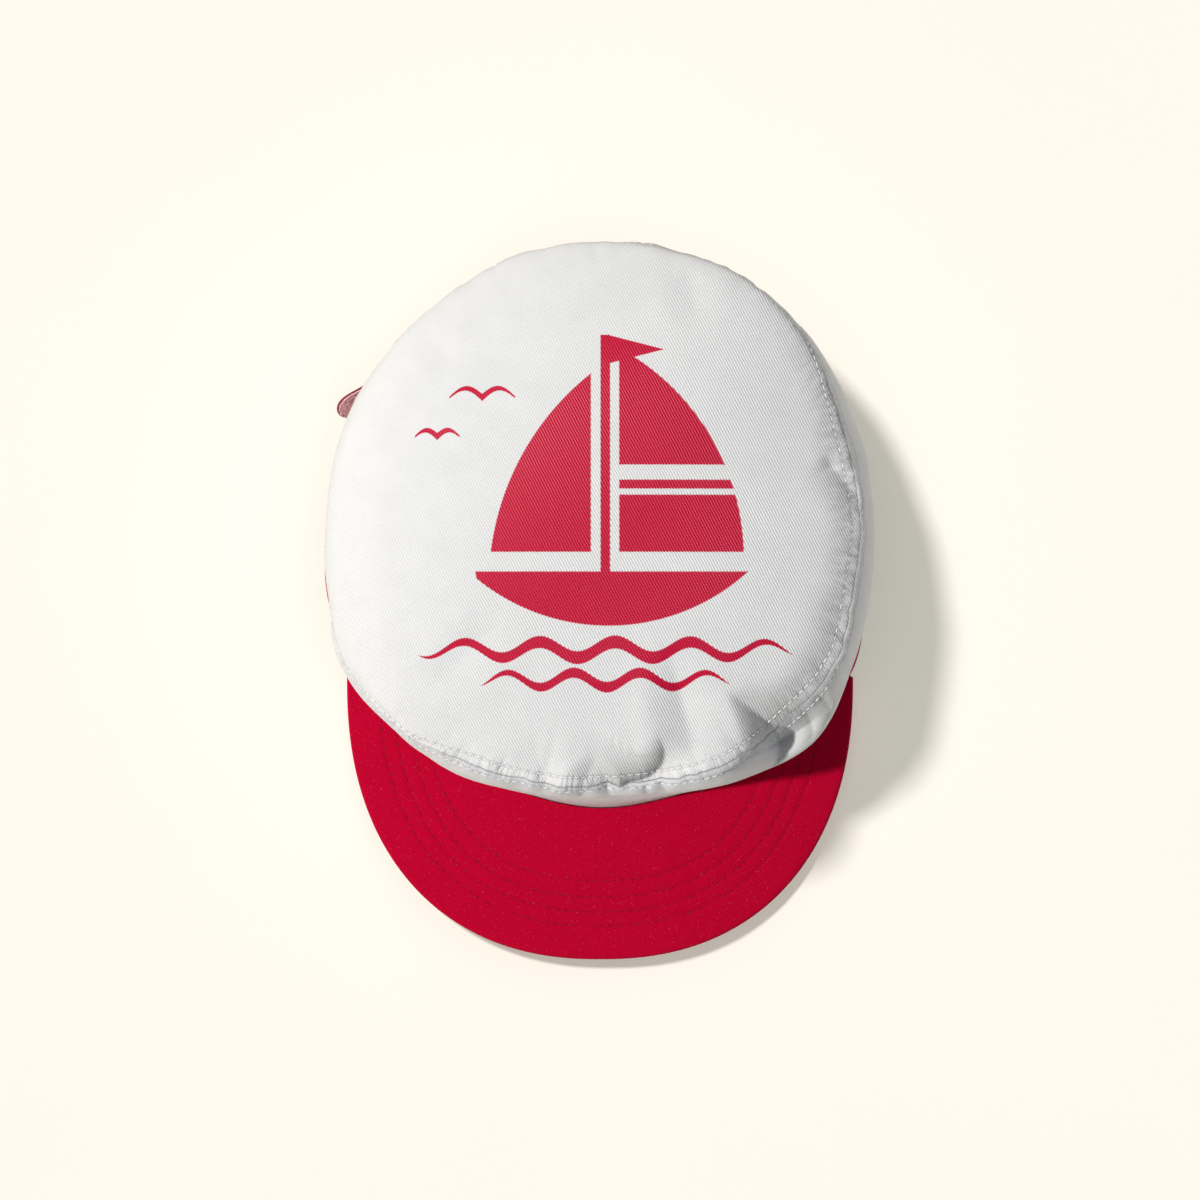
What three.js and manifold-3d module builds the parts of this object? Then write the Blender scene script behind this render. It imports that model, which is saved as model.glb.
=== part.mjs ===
// A painter cap: a soft round crown of white twill, a stiff red peak, a red band
// round the sides and back, and a red adjuster strap whose tail stands off at the
// back left. The cap rests on its rim. Millimetres, +Z up, the peak points to -Y.
// Angles run anticlockwise from +X, seen from above: 90 is the back, 270 the front.
import * as THREE from "three";
import { mergeVertices } from "three/addons/utils/BufferGeometryUtils.js";
import Module from "manifold-3d";

const wasm = await Module();
wasm.setup();

// Cloth and clearances
const CLOTH = 1.5;
const GAP = 0.3;

// Crown
const CROWN_CENTRE_Y = 26;
const SEAM_HEIGHT = 77;
const SEAM_TILT = 6; // the seam stands this much higher at the front than at mid length
const SEAM_TILT_OVER = 92;
const DOME_RISE = 15;
const DOME_POWER = 2.7;
const BELLY_AT = 0.42; // share of the wall's height, from the seam down, where it is widest
const BELLY_FALL = 1.3; // how late the wall draws back in below its widest
const SEAM_ROLL = 1.9; // how sharply the wall turns down below the seam

// The crown's outline, a row for each section: radii from the crown's centre
const SECTIONS = [
  { angle: 0, seam: 87.9, belly: 94, rim: 95.5 },
  { angle: 22.5, seam: 87.4, belly: 94.5, rim: 93 },
  { angle: 45, seam: 92.6, belly: 96.6, rim: 92 },
  { angle: 67.5, seam: 93.9, belly: 98.5, rim: 90.8 },
  { angle: 90, seam: 92.6, belly: 96.9, rim: 90.2 },
  { angle: 112.5, seam: 91.6, belly: 95.5, rim: 90 },
  { angle: 135, seam: 88.9, belly: 93.6, rim: 90.3 },
  { angle: 157.5, seam: 85.9, belly: 93.4, rim: 91.8 },
  { angle: 180, seam: 82.6, belly: 94, rim: 95.8 },
  { angle: 202.5, seam: 87.6, belly: 98.6, rim: 98 },
  { angle: 225, seam: 92.4, belly: 99.3, rim: 95.6 },
  { angle: 247.5, seam: 91.2, belly: 98.3, rim: 96.4 },
  { angle: 270, seam: 89.2, belly: 95.3, rim: 98.6 },
  { angle: 292.5, seam: 90.9, belly: 100.2, rim: 97.6 },
  { angle: 315, seam: 92.1, belly: 104.2, rim: 98.6 },
  { angle: 337.5, seam: 89.9, belly: 97.6, rim: 101 },
];

// Folds of the top that run down into the seam. from is the share of the radius at
// which a fold starts, start and end are its angles there and at the seam, and
// before and after are its widths in degrees on its two sides.
const FOLDS = [
  { from: 0.74, start: 308, end: 309.5, depth: 7.5, before: 7.5, after: 3.6 },
  { from: 0.8, start: 287, end: 277.5, depth: 4.2, before: 6.5, after: 2.6 },
  { from: 0.84, start: 270.5, end: 267.5, depth: 2.2, before: 3.6, after: 2.4 },
  { from: 0.74, start: 253.5, end: 255, depth: 1.8, before: 4, after: 3.4 },
  { from: 0.58, start: 295, end: 292, depth: 2.4, before: 4.4, after: 3.6 },
  { from: 0.7, start: 24, end: 9, depth: 3.2, before: 4.5, after: 4.5 },
  { from: 0.82, start: 340, end: 336, depth: 2.2, before: 7, after: 5 },
  { from: 0.84, start: 98, end: 97, depth: 1.6, before: 3.6, after: 3.6 },
  { from: 0.84, start: 62, end: 63, depth: 1.8, before: 4, after: 4 },
];
const FOLD_LEAD = 0.12; // share of the radius over which a fold fades in before its start
const FOLD_REACH = 0.42; // share of the wall's height to which a fold reaches down
const FOLD_PULL = 0.45; // how far a fold draws the wall in, for each mm of its depth
const FOLD_PULL_FROM = 0.12; // share of the wall's height by which the pull is full

// Peak
const PEAK_HALF_WIDTH = 88.9;
const PEAK_WIDEST_Y = -28;
const PEAK_LENGTH = 97.8; // from its widest line to its front edge
const PEAK_POWER = 2.28;
const PEAK_BACK = 40; // how far the plate runs back under the crown before it is cut
const PEAK_BACK_POWER = 4;
const PEAK_THICKNESS = 3.2;
const PEAK_CREST = 12.5; // height of the top face on the middle line, at the crown
const PEAK_DROOP = 5.5; // fall of the middle line from the crown to the front edge
const PEAK_DROOP_POWER = 1.4;
const PEAK_SIDE = 3.4; // height of the top face at the two side edges
const PEAK_ARCH_POWER = 2.2;
const PEAK_ARCH_END = 1.02; // the arch goes this far out, as a share of the half width
const PEAK_SHOWN = 74.8; // how far the droop runs forward of the crown
const PEAK_COLUMNS = 84;
const PEAK_RINGS = [0, 0.3, 0.52, 0.68, 0.82, 0.92, 1];

// Band, hem and adjuster
const BAND_HEIGHT = 24;
const EAR_Y = -25; // the white front wall meets the red bands here, at the peak's ears
const LIFT_FROM_Y = -31; // forward of here the rim leaves the floor
const LIFT_TO_Y = -47; // and from here on it is as high as the peak
const BACK_SPLIT = 12;
const STRAP = {
  height: 18,
  foot: 3, // height of its lower edge
  thickness: 1.6,
  clear: 0.45, // between it and the bands
  from: 72,
  to: 157.8,
  peelFrom: 147, // from here its tail stands off
  peel: 6.2, // how far its upper edge stands off at the end
  lean: 0.12, // the lower edge's share of that
};
const TAIL_SHARES = [0, 0.3, 0.55, 0.75, 0.9, 0.985];

const COLUMNS = 80;
const FRONT_CROWDING = 0.34; // columns stand closer at the front, where most folds are
const TOP_ROWS = 11;
const TOP_CROWDING = 1.35; // above 1, rows stand closer towards the seam
const TOP_END = 1 - GAP / 2 / SEAM_TILT_OVER;
const WALL_ROWS = 8;
const WALL_CROWDING = 1.15;
const WALL_START = 0.004;
const PLUG_SHARES = [0.55, 0.7, 0.82, 0.92, 1];
const PLUG_FOOT = -20;
const FAR = 300;
const TINY_SHARE = 0.004; // steps for taking a surface's slope
const TINY_TURN = 0.35;

const radians = THREE.MathUtils.degToRad;
const lerp = THREE.MathUtils.lerp;
const smooth = THREE.MathUtils.smoothstep;

function columnAngle(share) {
  const turn = share * 360;
  return turn - (FRONT_CROWDING * 180 / Math.PI) * Math.sin(radians(turn - 270));
}

const angles = Array.from({ length: COLUMNS }, (_, i) => columnAngle(i / COLUMNS));

// A column of SECTIONS at any angle: a cubic through the four nearest rows.
function section(name, angle) {
  const step = 360 / SECTIONS.length;
  const place = THREE.MathUtils.euclideanModulo(angle, 360) / step;
  const i = Math.floor(place);
  const t = place - i;
  const row = (k) => SECTIONS[(i + k + SECTIONS.length) % SECTIONS.length][name];
  const [a, b, c, d] = [row(-1), row(0), row(1), row(2)];
  return b + 0.5 * t * (c - a + t * (2 * a - 5 * b + 4 * c - d + t * (3 * (b - c) + d - a)));
}

// The signed turn from one angle to another, between -180 and 180 degrees.
function turnBetween(from, to) {
  return THREE.MathUtils.euclideanModulo(to - from + 180, 360) - 180;
}

// How deep the folds are at an angle and at a share of the radius.
function foldDepth(angle, share) {
  let depth = 0;
  for (const fold of FOLDS) {
    const along = THREE.MathUtils.clamp((share - fold.from) / (1 - fold.from), 0, 1);
    const middle = lerp(fold.start, fold.end, along);
    const off = turnBetween(middle, angle);
    const width = off < 0 ? fold.before : fold.after;
    const grown = smooth(share, fold.from - FOLD_LEAD, 1);
    depth += fold.depth * grown * Math.exp(-((off / width) ** 2));
  }
  return depth;
}

function inPlan(angle, radius) {
  const a = radians(angle);
  return [radius * Math.cos(a), CROWN_CENTRE_Y + radius * Math.sin(a)];
}

function seamPlane(y) {
  return SEAM_HEIGHT - (SEAM_TILT * (y - CROWN_CENTRE_Y)) / SEAM_TILT_OVER;
}

function topPoint(angle, share) {
  const [x, y] = inPlan(angle, share * section("seam", angle));
  const rise = DOME_RISE * (1 - share ** DOME_POWER);
  return new THREE.Vector3(x, y, seamPlane(y) + rise - foldDepth(angle, share));
}

// Height of the peak's top face in plan: arched from side to side, drooping forward.
function peakTop(x, y) {
  const forward = THREE.MathUtils.clamp(
    (CROWN_CENTRE_Y - section("rim", 270) - y) / PEAK_SHOWN, 0, 1);
  const crest = PEAK_CREST - PEAK_DROOP * forward ** PEAK_DROOP_POWER;
  const across = Math.min(Math.abs(x) / PEAK_HALF_WIDTH, PEAK_ARCH_END);
  return PEAK_SIDE + (crest - PEAK_SIDE) * (1 - across ** PEAK_ARCH_POWER);
}

// The lower edge of the crown's wall: on the floor, and raised with the peak in front.
function rimHeight(angle) {
  const [x, y] = inPlan(angle, section("rim", angle));
  const lifted = peakTop(x, y) - PEAK_THICKNESS;
  return lifted * (1 - smooth(y, LIFT_TO_Y, LIFT_FROM_Y));
}

function wallPoint(angle, share) {
  const seam = section("seam", angle);
  const belly = section("belly", angle);
  const rim = section("rim", angle);
  const depth = foldDepth(angle, 1);
  const left = 1 - smooth(share, 0, FOLD_REACH);
  const radius =
    share < BELLY_AT
      ? belly - (belly - seam) * (1 - share / BELLY_AT) ** SEAM_ROLL
      : belly - (belly - rim) * ((share - BELLY_AT) / (1 - BELLY_AT)) ** BELLY_FALL;
  const pulled = radius - depth * FOLD_PULL * left * Math.min(1, share / FOLD_PULL_FROM);
  const [x, y] = inPlan(angle, pulled);
  const [, seamY] = inPlan(angle, seam);
  const z = lerp(seamPlane(seamY) - depth * left, rimHeight(angle), share);
  return new THREE.Vector3(x, y, z);
}

function normalAt(surface, angle, share) {
  const along = surface(angle, share + TINY_SHARE).sub(surface(angle, share - TINY_SHARE));
  const round = surface(angle + TINY_TURN, share).sub(surface(angle - TINY_TURN, share));
  return along.cross(round).normalize();
}

function geometryOf(positions, triangles) {
  const geometry = new THREE.BufferGeometry();
  const array = positions.flatMap((p) => [p.x, p.y, p.z]);
  geometry.setAttribute("position", new THREE.Float32BufferAttribute(array, 3));
  geometry.setIndex(triangles.filter(([a, b, c]) => a !== b && b !== c && a !== c).flat());
  return geometry;
}

// A closed slab between two grids of points, outer[row][column] and inner[row][column].
// wrap joins the last column to the first, and pole makes the first row one point.
function slab(outer, inner, { wrap = false, pole = false } = {}) {
  const rows = outer.length;
  const columns = outer[0].length;
  const positions = [...outer.flat(), ...inner.flat()];
  const at = (face, i, j) => {
    const column = pole && i === 0 ? 0 : j % columns;
    return face * rows * columns + i * columns + column;
  };
  const triangles = [];
  const quad = (a, b, c, d) => triangles.push([a, b, c], [a, c, d]);
  const spans = wrap ? columns : columns - 1;
  for (let j = 0; j < spans; j++) {
    for (let i = 0; i < rows - 1; i++) {
      quad(at(0, i, j), at(0, i + 1, j), at(0, i + 1, j + 1), at(0, i, j + 1));
      quad(at(1, i, j), at(1, i, j + 1), at(1, i + 1, j + 1), at(1, i + 1, j));
    }
    const last = rows - 1;
    quad(at(0, last, j), at(1, last, j), at(1, last, j + 1), at(0, last, j + 1));
    if (!pole) quad(at(0, 0, j + 1), at(1, 0, j + 1), at(1, 0, j), at(0, 0, j));
  }
  if (!wrap) {
    const last = columns - 1;
    for (let i = 0; i < rows - 1; i++) {
      quad(at(0, i, 0), at(1, i, 0), at(1, i + 1, 0), at(0, i + 1, 0));
      quad(at(0, i + 1, last), at(1, i + 1, last), at(1, i, last), at(0, i, last));
    }
  }
  return geometryOf(positions, triangles);
}

function solidOf(geometry) {
  const bare = geometry.clone();
  bare.deleteAttribute("normal");
  bare.deleteAttribute("uv");
  const merged = mergeVertices(bare, 1e-4);
  return new wasm.Manifold(
    new wasm.Mesh({
      numProp: 3,
      vertProperties: new Float32Array(merged.attributes.position.array),
      triVerts: new Uint32Array(merged.index.array),
    }),
  );
}

function geometryFrom(solid) {
  const mesh = solid.getMesh();
  const geometry = new THREE.BufferGeometry();
  geometry.setAttribute("position", new THREE.BufferAttribute(mesh.vertProperties, 3));
  geometry.setIndex(new THREE.BufferAttribute(mesh.triVerts, 1));
  return geometry;
}

// A solid block between two corners, for cutting.
function block([x0, y0, z0], [x1, y1, z1]) {
  const box = new THREE.BoxGeometry(x1 - x0, y1 - y0, z1 - z0);
  box.translate((x0 + x1) / 2, (y0 + y1) / 2, (z0 + z1) / 2);
  return solidOf(box);
}

// The direction through the cloth at the seam, halfway between top and wall, so that
// their two edges lie side by side.
function seamMitre(angle) {
  return normalAt(topPoint, angle, 0.99)
    .add(normalAt(wallPoint, angle, 0.03))
    .normalize();
}

function outwards(angle) {
  return new THREE.Vector3(Math.cos(radians(angle)), Math.sin(radians(angle)), 0);
}

function through(point, direction, depth) {
  return point.clone().addScaledVector(direction, -depth);
}

// Crown top: the domed oval with its folds
function crownTop() {
  const outer = [];
  const inner = [];
  for (let i = 0; i <= TOP_ROWS; i++) {
    const even = i / TOP_ROWS;
    const share = i === TOP_ROWS ? TOP_END : 1 - (1 - even) ** TOP_CROWDING;
    const points = angles.map((angle) => topPoint(angle, share));
    const directions = angles.map((angle) =>
      i === 0
        ? new THREE.Vector3(0, 0, 1)
        : i === TOP_ROWS
          ? seamMitre(angle)
          : normalAt(topPoint, angle, share));
    outer.push(points);
    inner.push(points.map((point, j) => through(point, directions[j], CLOTH)));
  }
  return slab(outer, inner, { wrap: true, pole: true });
}

// The whole wall below the seam, before the bands are parted from it
function wallRing() {
  const outer = [];
  const inner = [];
  for (let i = 0; i <= WALL_ROWS; i++) {
    const share = i === 0 ? WALL_START : (i / WALL_ROWS) ** WALL_CROWDING;
    const points = angles.map((angle) => wallPoint(angle, share));
    const directions = angles.map((angle) =>
      i === 0
        ? seamMitre(angle)
        : i === WALL_ROWS
          ? outwards(angle)
          : normalAt(wallPoint, angle, share));
    outer.push(points);
    inner.push(points.map((point, j) => through(point, directions[j], CLOTH)));
  }
  return solidOf(slab(outer, inner, { wrap: true }));
}

// The space inside the wall's outer face, grown by a clearance, to cut the peak with
function wallFilled(clearance) {
  const outer = PLUG_SHARES.map((share) =>
    angles.map((angle) => through(wallPoint(angle, share), outwards(angle), -clearance)));
  const foot = outer.at(-1).map((p) => new THREE.Vector3(p.x, p.y, PLUG_FOOT));
  outer.push(foot);
  const middle = (z) => angles.map(() => new THREE.Vector3(0, CROWN_CENTRE_Y, z));
  const rows = [middle(outer[0][0].z), ...outer, middle(PLUG_FOOT)];
  const positions = rows.flat();
  const at = (i, j) =>
    i * COLUMNS + (i === 0 || i === rows.length - 1 ? 0 : j % COLUMNS);
  const triangles = [];
  for (let i = 0; i < rows.length - 1; i++)
    for (let j = 0; j < COLUMNS; j++) {
      triangles.push([at(i, j), at(i + 1, j), at(i + 1, j + 1)]);
      triangles.push([at(i, j), at(i + 1, j + 1), at(i, j + 1)]);
    }
  return solidOf(geometryOf(positions, triangles));
}

// Peak: a stiff, gently arched plate with a rounded front
function peakEdge(turn) {
  const a = radians(turn);
  const front = Math.sin(a) < 0;
  const power = front ? PEAK_POWER : PEAK_BACK_POWER;
  const depth = front ? PEAK_LENGTH : PEAK_BACK;
  const round = (v) => Math.sign(v) * Math.abs(v) ** (2 / power);
  return [PEAK_HALF_WIDTH * round(Math.cos(a)), PEAK_WIDEST_Y + depth * round(Math.sin(a))];
}

function peakPlate() {
  const turns = Array.from({ length: PEAK_COLUMNS }, (_, i) => columnAngle(i / PEAK_COLUMNS));
  const top = PEAK_RINGS.map((ring) =>
    turns.map((turn) => {
      const [edgeX, edgeY] = peakEdge(turn);
      const x = ring * edgeX;
      const y = lerp(PEAK_WIDEST_Y, edgeY, ring);
      return new THREE.Vector3(x, y, peakTop(x, y));
    }));
  const under = top.map((row) => row.map((p) => new THREE.Vector3(p.x, p.y, p.z - PEAK_THICKNESS)));
  return solidOf(slab(top, under, { wrap: true, pole: true }));
}

// Adjuster strap: sewn to the right band, over the split, along the left band, with
// its round tail leaning off at the end
function strapPoint(angle, height, depth) {
  const s = STRAP;
  const share = 1 - height / seamPlane(CROWN_CENTRE_Y);
  const band = wallPoint(angle, share);
  const foot = Math.hypot(band.x, band.y - CROWN_CENTRE_Y);
  const peeled = smooth(angle, s.peelFrom, s.to) * s.peel;
  const leaning = lerp(s.lean, 1, (height - s.foot) / s.height);
  const [x, y] = inPlan(angle, foot + s.clear + depth + peeled * leaning);
  return new THREE.Vector3(x, y, height);
}

function adjusterStrap() {
  const s = STRAP;
  const perDegree = radians(1) * section("rim", 150);
  const tail = s.height / 2 / perDegree;
  const stations = [s.from];
  stations.push(...angles.filter((a) => a > s.from && a < s.to - tail - 1));
  for (const share of TAIL_SHARES) stations.push(s.to - tail * (1 - share));
  const halfAt = (angle) => {
    const into = Math.max(0, (angle - (s.to - tail)) / tail);
    return (s.height / 2) * Math.sqrt(1 - into ** 2);
  };
  const middle = s.foot + s.height / 2;
  const grid = (depth) =>
    [1, 0.5, 0, -0.5, -1].map((side) =>
      stations.map((angle) => strapPoint(angle, middle + side * halfAt(angle), depth)));
  return slab(grid(s.thickness), grid(0));
}

const ring = wallRing();
const behindEars = block([-FAR, EAR_Y - GAP / 2, -FAR], [FAR, FAR, BAND_HEIGHT + GAP / 2]);
const bandSpace = (side) => {
  const near = side * (BACK_SPLIT / 2);
  const [x0, x1] = side > 0 ? [near, FAR] : [-FAR, near];
  return block([x0, EAR_Y + GAP / 2, -FAR], [x1, FAR, BAND_HEIGHT - GAP / 2]);
};

const white = new THREE.MeshStandardMaterial({ color: 0xe6e5e2, roughness: 0.92, metalness: 0 });
const red = new THREE.MeshStandardMaterial({ color: 0xb8052f, roughness: 0.88, metalness: 0 });
const strapRed = new THREE.MeshStandardMaterial({ color: 0xb4474f, roughness: 0.95, metalness: 0 });

const cap = new THREE.Group();

function add(name, geometry, material) {
  const mesh = new THREE.Mesh(geometry, material);
  mesh.name = name;
  cap.add(mesh);
}

add("crown_top", crownTop(), white);
add("crown_side", geometryFrom(ring.subtract(behindEars)), white);
add("band_right", geometryFrom(ring.intersect(bandSpace(1))), red);
add("band_left", geometryFrom(ring.intersect(bandSpace(-1))), red);
add("peak", geometryFrom(peakPlate().subtract(wallFilled(GAP))), red);
add("adjuster_strap", adjusterStrap(), strapRed);

// The frame's origin is under the middle of the cap, on the floor.
const bounds = new THREE.Box3().setFromObject(cap);
const middle = bounds.getCenter(new THREE.Vector3());
for (const mesh of cap.children) mesh.position.set(-middle.x, -middle.y, -bounds.min.z);

export default cap;
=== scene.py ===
"""Dresses a painter cap: twill crown with folds and stitching, covered peak, bands and strap."""
import functools
import math

import bpy
import numpy as np
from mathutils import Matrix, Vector


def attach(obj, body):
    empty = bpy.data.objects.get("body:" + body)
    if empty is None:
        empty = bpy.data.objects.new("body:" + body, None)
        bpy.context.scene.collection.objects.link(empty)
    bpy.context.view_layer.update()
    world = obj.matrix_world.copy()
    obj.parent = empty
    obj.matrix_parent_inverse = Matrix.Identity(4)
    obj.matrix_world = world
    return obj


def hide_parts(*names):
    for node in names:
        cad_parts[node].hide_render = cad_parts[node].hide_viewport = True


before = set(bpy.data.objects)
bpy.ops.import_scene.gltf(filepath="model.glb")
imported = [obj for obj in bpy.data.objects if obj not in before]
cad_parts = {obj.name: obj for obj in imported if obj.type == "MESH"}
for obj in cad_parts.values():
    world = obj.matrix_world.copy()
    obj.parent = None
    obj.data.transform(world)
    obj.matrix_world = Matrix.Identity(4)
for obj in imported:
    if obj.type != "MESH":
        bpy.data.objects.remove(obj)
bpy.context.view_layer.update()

bl_info = {
    "name": "Painter cap",
    "version": (1, 0, 0),
    "blender": (4, 5, 0),
    "location": "3D View > Sidebar > Cap",
    "description": "Builds the cloth, stitching and stage of a painter cap",
    "category": "Object",
}

MM = 0.001
CENTRE = np.array([-0.28, 27.52])  # the crown's centre in plan, in mm
SEAM_HEIGHT = 77.0  # mm above the floor, at the crown's centre
SEAM_TILT = 6.0 / 92.0  # its fall towards the back
DOME_RISE = 15.0  # mm from the seam up to the crown's middle
DOME_POWER = 2.7  # more is flatter in the middle and rounder at the edge
BELLY_AT = 0.42  # share of the wall's height, from above, where it is widest
BELLY_FALL = 1.3  # power of its way in from there to the rim

# The crown's outline. Angles run anticlockwise from +X, seen from above, and the
# radii in mm are those of the top's edge, of the wall at its widest and of the rim. roll
# says how soon the wall turns down below the edge, waist how far it draws in under
# the stitching, pucker how strongly the seam gathers the cloth, relief how clearly
# the seam itself shows, drop how far in mm the top's cloth rolls over the edge before
# the seam, and band how far in mm the red band swells out.
OUTLINE_COLUMNS = (
    "angle", "edge", "belly", "rim", "roll", "waist", "pucker", "relief", "drop", "band",
)
OUTLINE = np.array([
    (0, 88.1, 93.7, 95.5, 2.2, 0.0, 0.7, 0.3, 0.0, 0.3),
    (15, 86.8, 93.7, 93.6, 2.2, 0.0, 0.7, 0.35, 0.5, 0.3),
    (30, 88.6, 94.7, 92.6, 2.2, 0.0, 0.7, 0.5, 2.5, 0.3),
    (45, 93.0, 96.1, 92.0, 2.2, 0.0, 0.8, 0.8, 6.5, 0.3),
    (60, 95.4, 97.6, 91.2, 2.4, 0.0, 0.9, 0.8, 9.0, 0.3),
    (75, 94.6, 96.0, 90.5, 2.4, 0.0, 0.9, 0.8, 10.0, 0.3),
    (90, 94.6, 96.1, 90.2, 2.4, 0.0, 0.9, 0.8, 10.0, 0.3),
    (105, 94.2, 95.8, 90.0, 2.4, 0.0, 0.8, 0.8, 11.0, 0.3),
    (120, 92.2, 93.8, 90.0, 2.4, 0.0, 0.7, 0.8, 13.0, 0.3),
    (135, 90.9, 93.4, 90.3, 2.2, 0.0, 0.5, 0.8, 17.0, 0.3),
    (150, 89.2, 93.5, 91.1, 2.2, 0.0, 0.4, 0.8, 21.0, 0.3),
    (165, 86.0, 93.5, 93.0, 2.6, 0.0, 0.4, 0.8, 23.5, 0.4),
    (180, 83.6, 93.7, 95.8, 2.8, 0.0, 0.4, 0.8, 24.5, 0.5),
    (195, 86.4, 96.3, 97.7, 2.8, 0.0, 0.4, 0.8, 23.5, 1.1),
    (210, 91.8, 101.2, 97.4, 2.4, 0.0, 0.5, 0.8, 19.0, 0.4),
    (225, 94.5, 98.8, 95.6, 2.7, 0.0, 0.6, 0.8, 7.0, 0.3),
    (240, 92.4, 98.3, 95.9, 2.8, 0.2, 1.1, 0.8, 0.4, 0.3),
    (255, 90.4, 95.6, 97.1, 2.7, 1.2, 1.6, 0.9, 0.0, 0.3),
    (270, 89.0, 94.7, 98.6, 2.7, 1.8, 1.9, 1.0, 0.0, 0.3),
    (285, 89.6, 95.8, 97.9, 2.7, 1.2, 1.9, 0.9, 0.0, 0.3),
    (300, 91.6, 100.1, 97.7, 3.4, 0.2, 1.5, 0.5, 0.0, 0.3),
    (315, 91.3, 104.1, 98.6, 2.6, 0.0, 1.3, 0.3, 0.0, 0.4),
    (330, 92.1, 99.0, 101.7, 2.4, 0.0, 1.1, 0.3, 0.0, 0.8),
    (345, 88.3, 95.4, 96.8, 2.2, 0.0, 0.7, 0.3, 0.0, 0.1),
])

# Folds, in mm from the crown's centre on the cloth laid flat: a crease from (x0, y0)
# through (x1, y1) to (x2, y2). left and right are its widths seen along it, and
# puff_left and puff_right are how high the cloth swells beside it. Up to onset, a share
# of its length, it deepens evenly, and with flare of 1 it widens evenly too. edge is the
# power of its profile on the right: 1 is a sharp crease, 2 a soft valley, and FACET a
# plane slope. shade is how much painted shade darkens the cloth in it, on the right.
FOLD_COLUMNS = (
    "x0", "y0", "x1", "y1", "x2", "y2", "depth", "left", "right", "puff_left", "puff_right",
    "onset", "flare", "edge", "shade",
)
FACET = 0.0
INNER_FOLD = 89.0  # a fold whose end is nearer the centre dies out past it
FACET_CORNER = 5.0  # how sharply a facet meets the cloth above it
FACET_HOLLOW = 1.15  # 1 is a plane, and more is steeper towards the crease
FOLD_STEPS = 10  # guesses along a fold, for the point nearest to a place
FOLD_REFINING = 6  # rounds that make the best guess exact
SHADE_REACH = 0.75  # of the fold's width, how far its painted shade reaches
FOLDS = np.array([
    (43.2, -57.6, 57.6, -69.0, 63.2, -77.8, 23.5, 21.0, 19.5, 0.0, 0.0, 0.85, 0.93, FACET, 0.3),
    (19.3, -71.0, 19.3, -82.8, 5.0, -88.2, 9.0, 10.0, 5.4, 0.0, 0.0, 0.5, 0.6, 0.9, 0.55),
    (14.8, -88.5, 15.8, -93.0, 16.8, -98.5, 1.3, 1.6, 2.2, 0.1, 0.2, 0.3, 0.3, 1.5, 0.5),
    (20.6, -88.0, 21.6, -92.5, 23.2, -97.0, 1.2, 1.4, 1.8, 0.1, 0.2, 0.3, 0.3, 1.5, 0.36),
    (2.2, -89.5, 2.4, -93.5, 3.2, -98.5, 1.2, 1.4, 1.8, 0.1, 0.2, 0.3, 0.3, 1.5, 0.36),
    (-5.6, -89.5, -6.2, -94.0, -7.6, -99.0, 1.2, 1.6, 2.0, 0.1, 0.2, 0.3, 0.3, 1.5, 0.42),
    (-1.0, -77.0, -4.4, -85.0, -7.0, -92.0, 1.9, 6.0, 3.0, 0.2, 0.5, 0.5, 0.5, 1.2, 0.0),
    (-21.5, -74.0, -19.5, -84.0, -18.0, -93.0, 1.3, 4.5, 2.6, 0.2, 0.4, 0.5, 0.5, 1.3, 0.0),
    (22.5, -40.0, 27.5, -60.0, 31.5, -77.0, 2.8, 8.5, 6.0, 0.3, 0.8, 0.5, 0.3, 1.5, 0.0),
    (75.0, 22.5, 79.3, 16.5, 86.5, 8.5, 2.2, 2.6, 5.0, 0.5, 0.3, 0.3, 0.4, 1.3, 0.0),
    (83.0, -20.0, 80.0, -35.0, 75.0, -48.0, 1.6, 6.0, 5.5, 0.3, 0.3, 0.42, 0.0, 1.6, 0.0),
    (72.5, -48.5, 80.0, -55.0, 89.0, -63.0, 0.6, 4.0, 2.6, 0.1, 0.2, 0.3, 0.3, 1.3, 0.0),
    (66.5, -61.5, 74.0, -70.5, 78.0, -80.0, 2.0, 2.4, 5.0, 0.3, 0.1, 0.3, 0.3, 1.3, 0.34),
    (71.5, -56.5, 81.0, -65.0, 88.0, -74.0, 1.7, 2.4, 5.0, 0.3, 0.1, 0.3, 0.3, 1.3, 0.22),
    (-60.0, -70.0, -63.0, -76.5, -67.0, -84.0, 0.9, 3.0, 1.6, 0.2, 0.3, 0.42, 0.3, 1.3, 0.0),
    (-48.0, -76.0, -52.0, -81.0, -57.0, -90.0, 0.8, 3.0, 1.7, 0.2, 0.3, 0.42, 0.3, 1.3, 0.0),
    (-31.0, -77.0, -33.0, -83.5, -36.0, -94.0, 0.9, 3.5, 2.0, 0.2, 0.3, 0.42, 0.3, 1.3, 0.0),
    (-57.0, -56.0, -48.0, -47.0, -38.0, -38.0, 0.9, 5.0, 6.0, 0.3, 0.3, 0.42, 0.0, 1.6, 0.0),
    (-80.0, 20.0, -73.0, 28.0, -64.0, 34.0, 0.7, 5.0, 5.0, 0.2, 0.2, 0.42, 0.0, 1.6, 0.0),
    (29.0, 88.0, 31.0, 79.0, 32.0, 70.0, 0.7, 5.0, 5.0, 0.2, 0.2, 0.42, 0.0, 1.6, 0.0),
    (-62.0, 66.0, -56.0, 60.0, -50.0, 56.0, 0.5, 4.0, 4.0, 0.2, 0.2, 0.42, 0.0, 1.6, 0.0),
])

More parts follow.
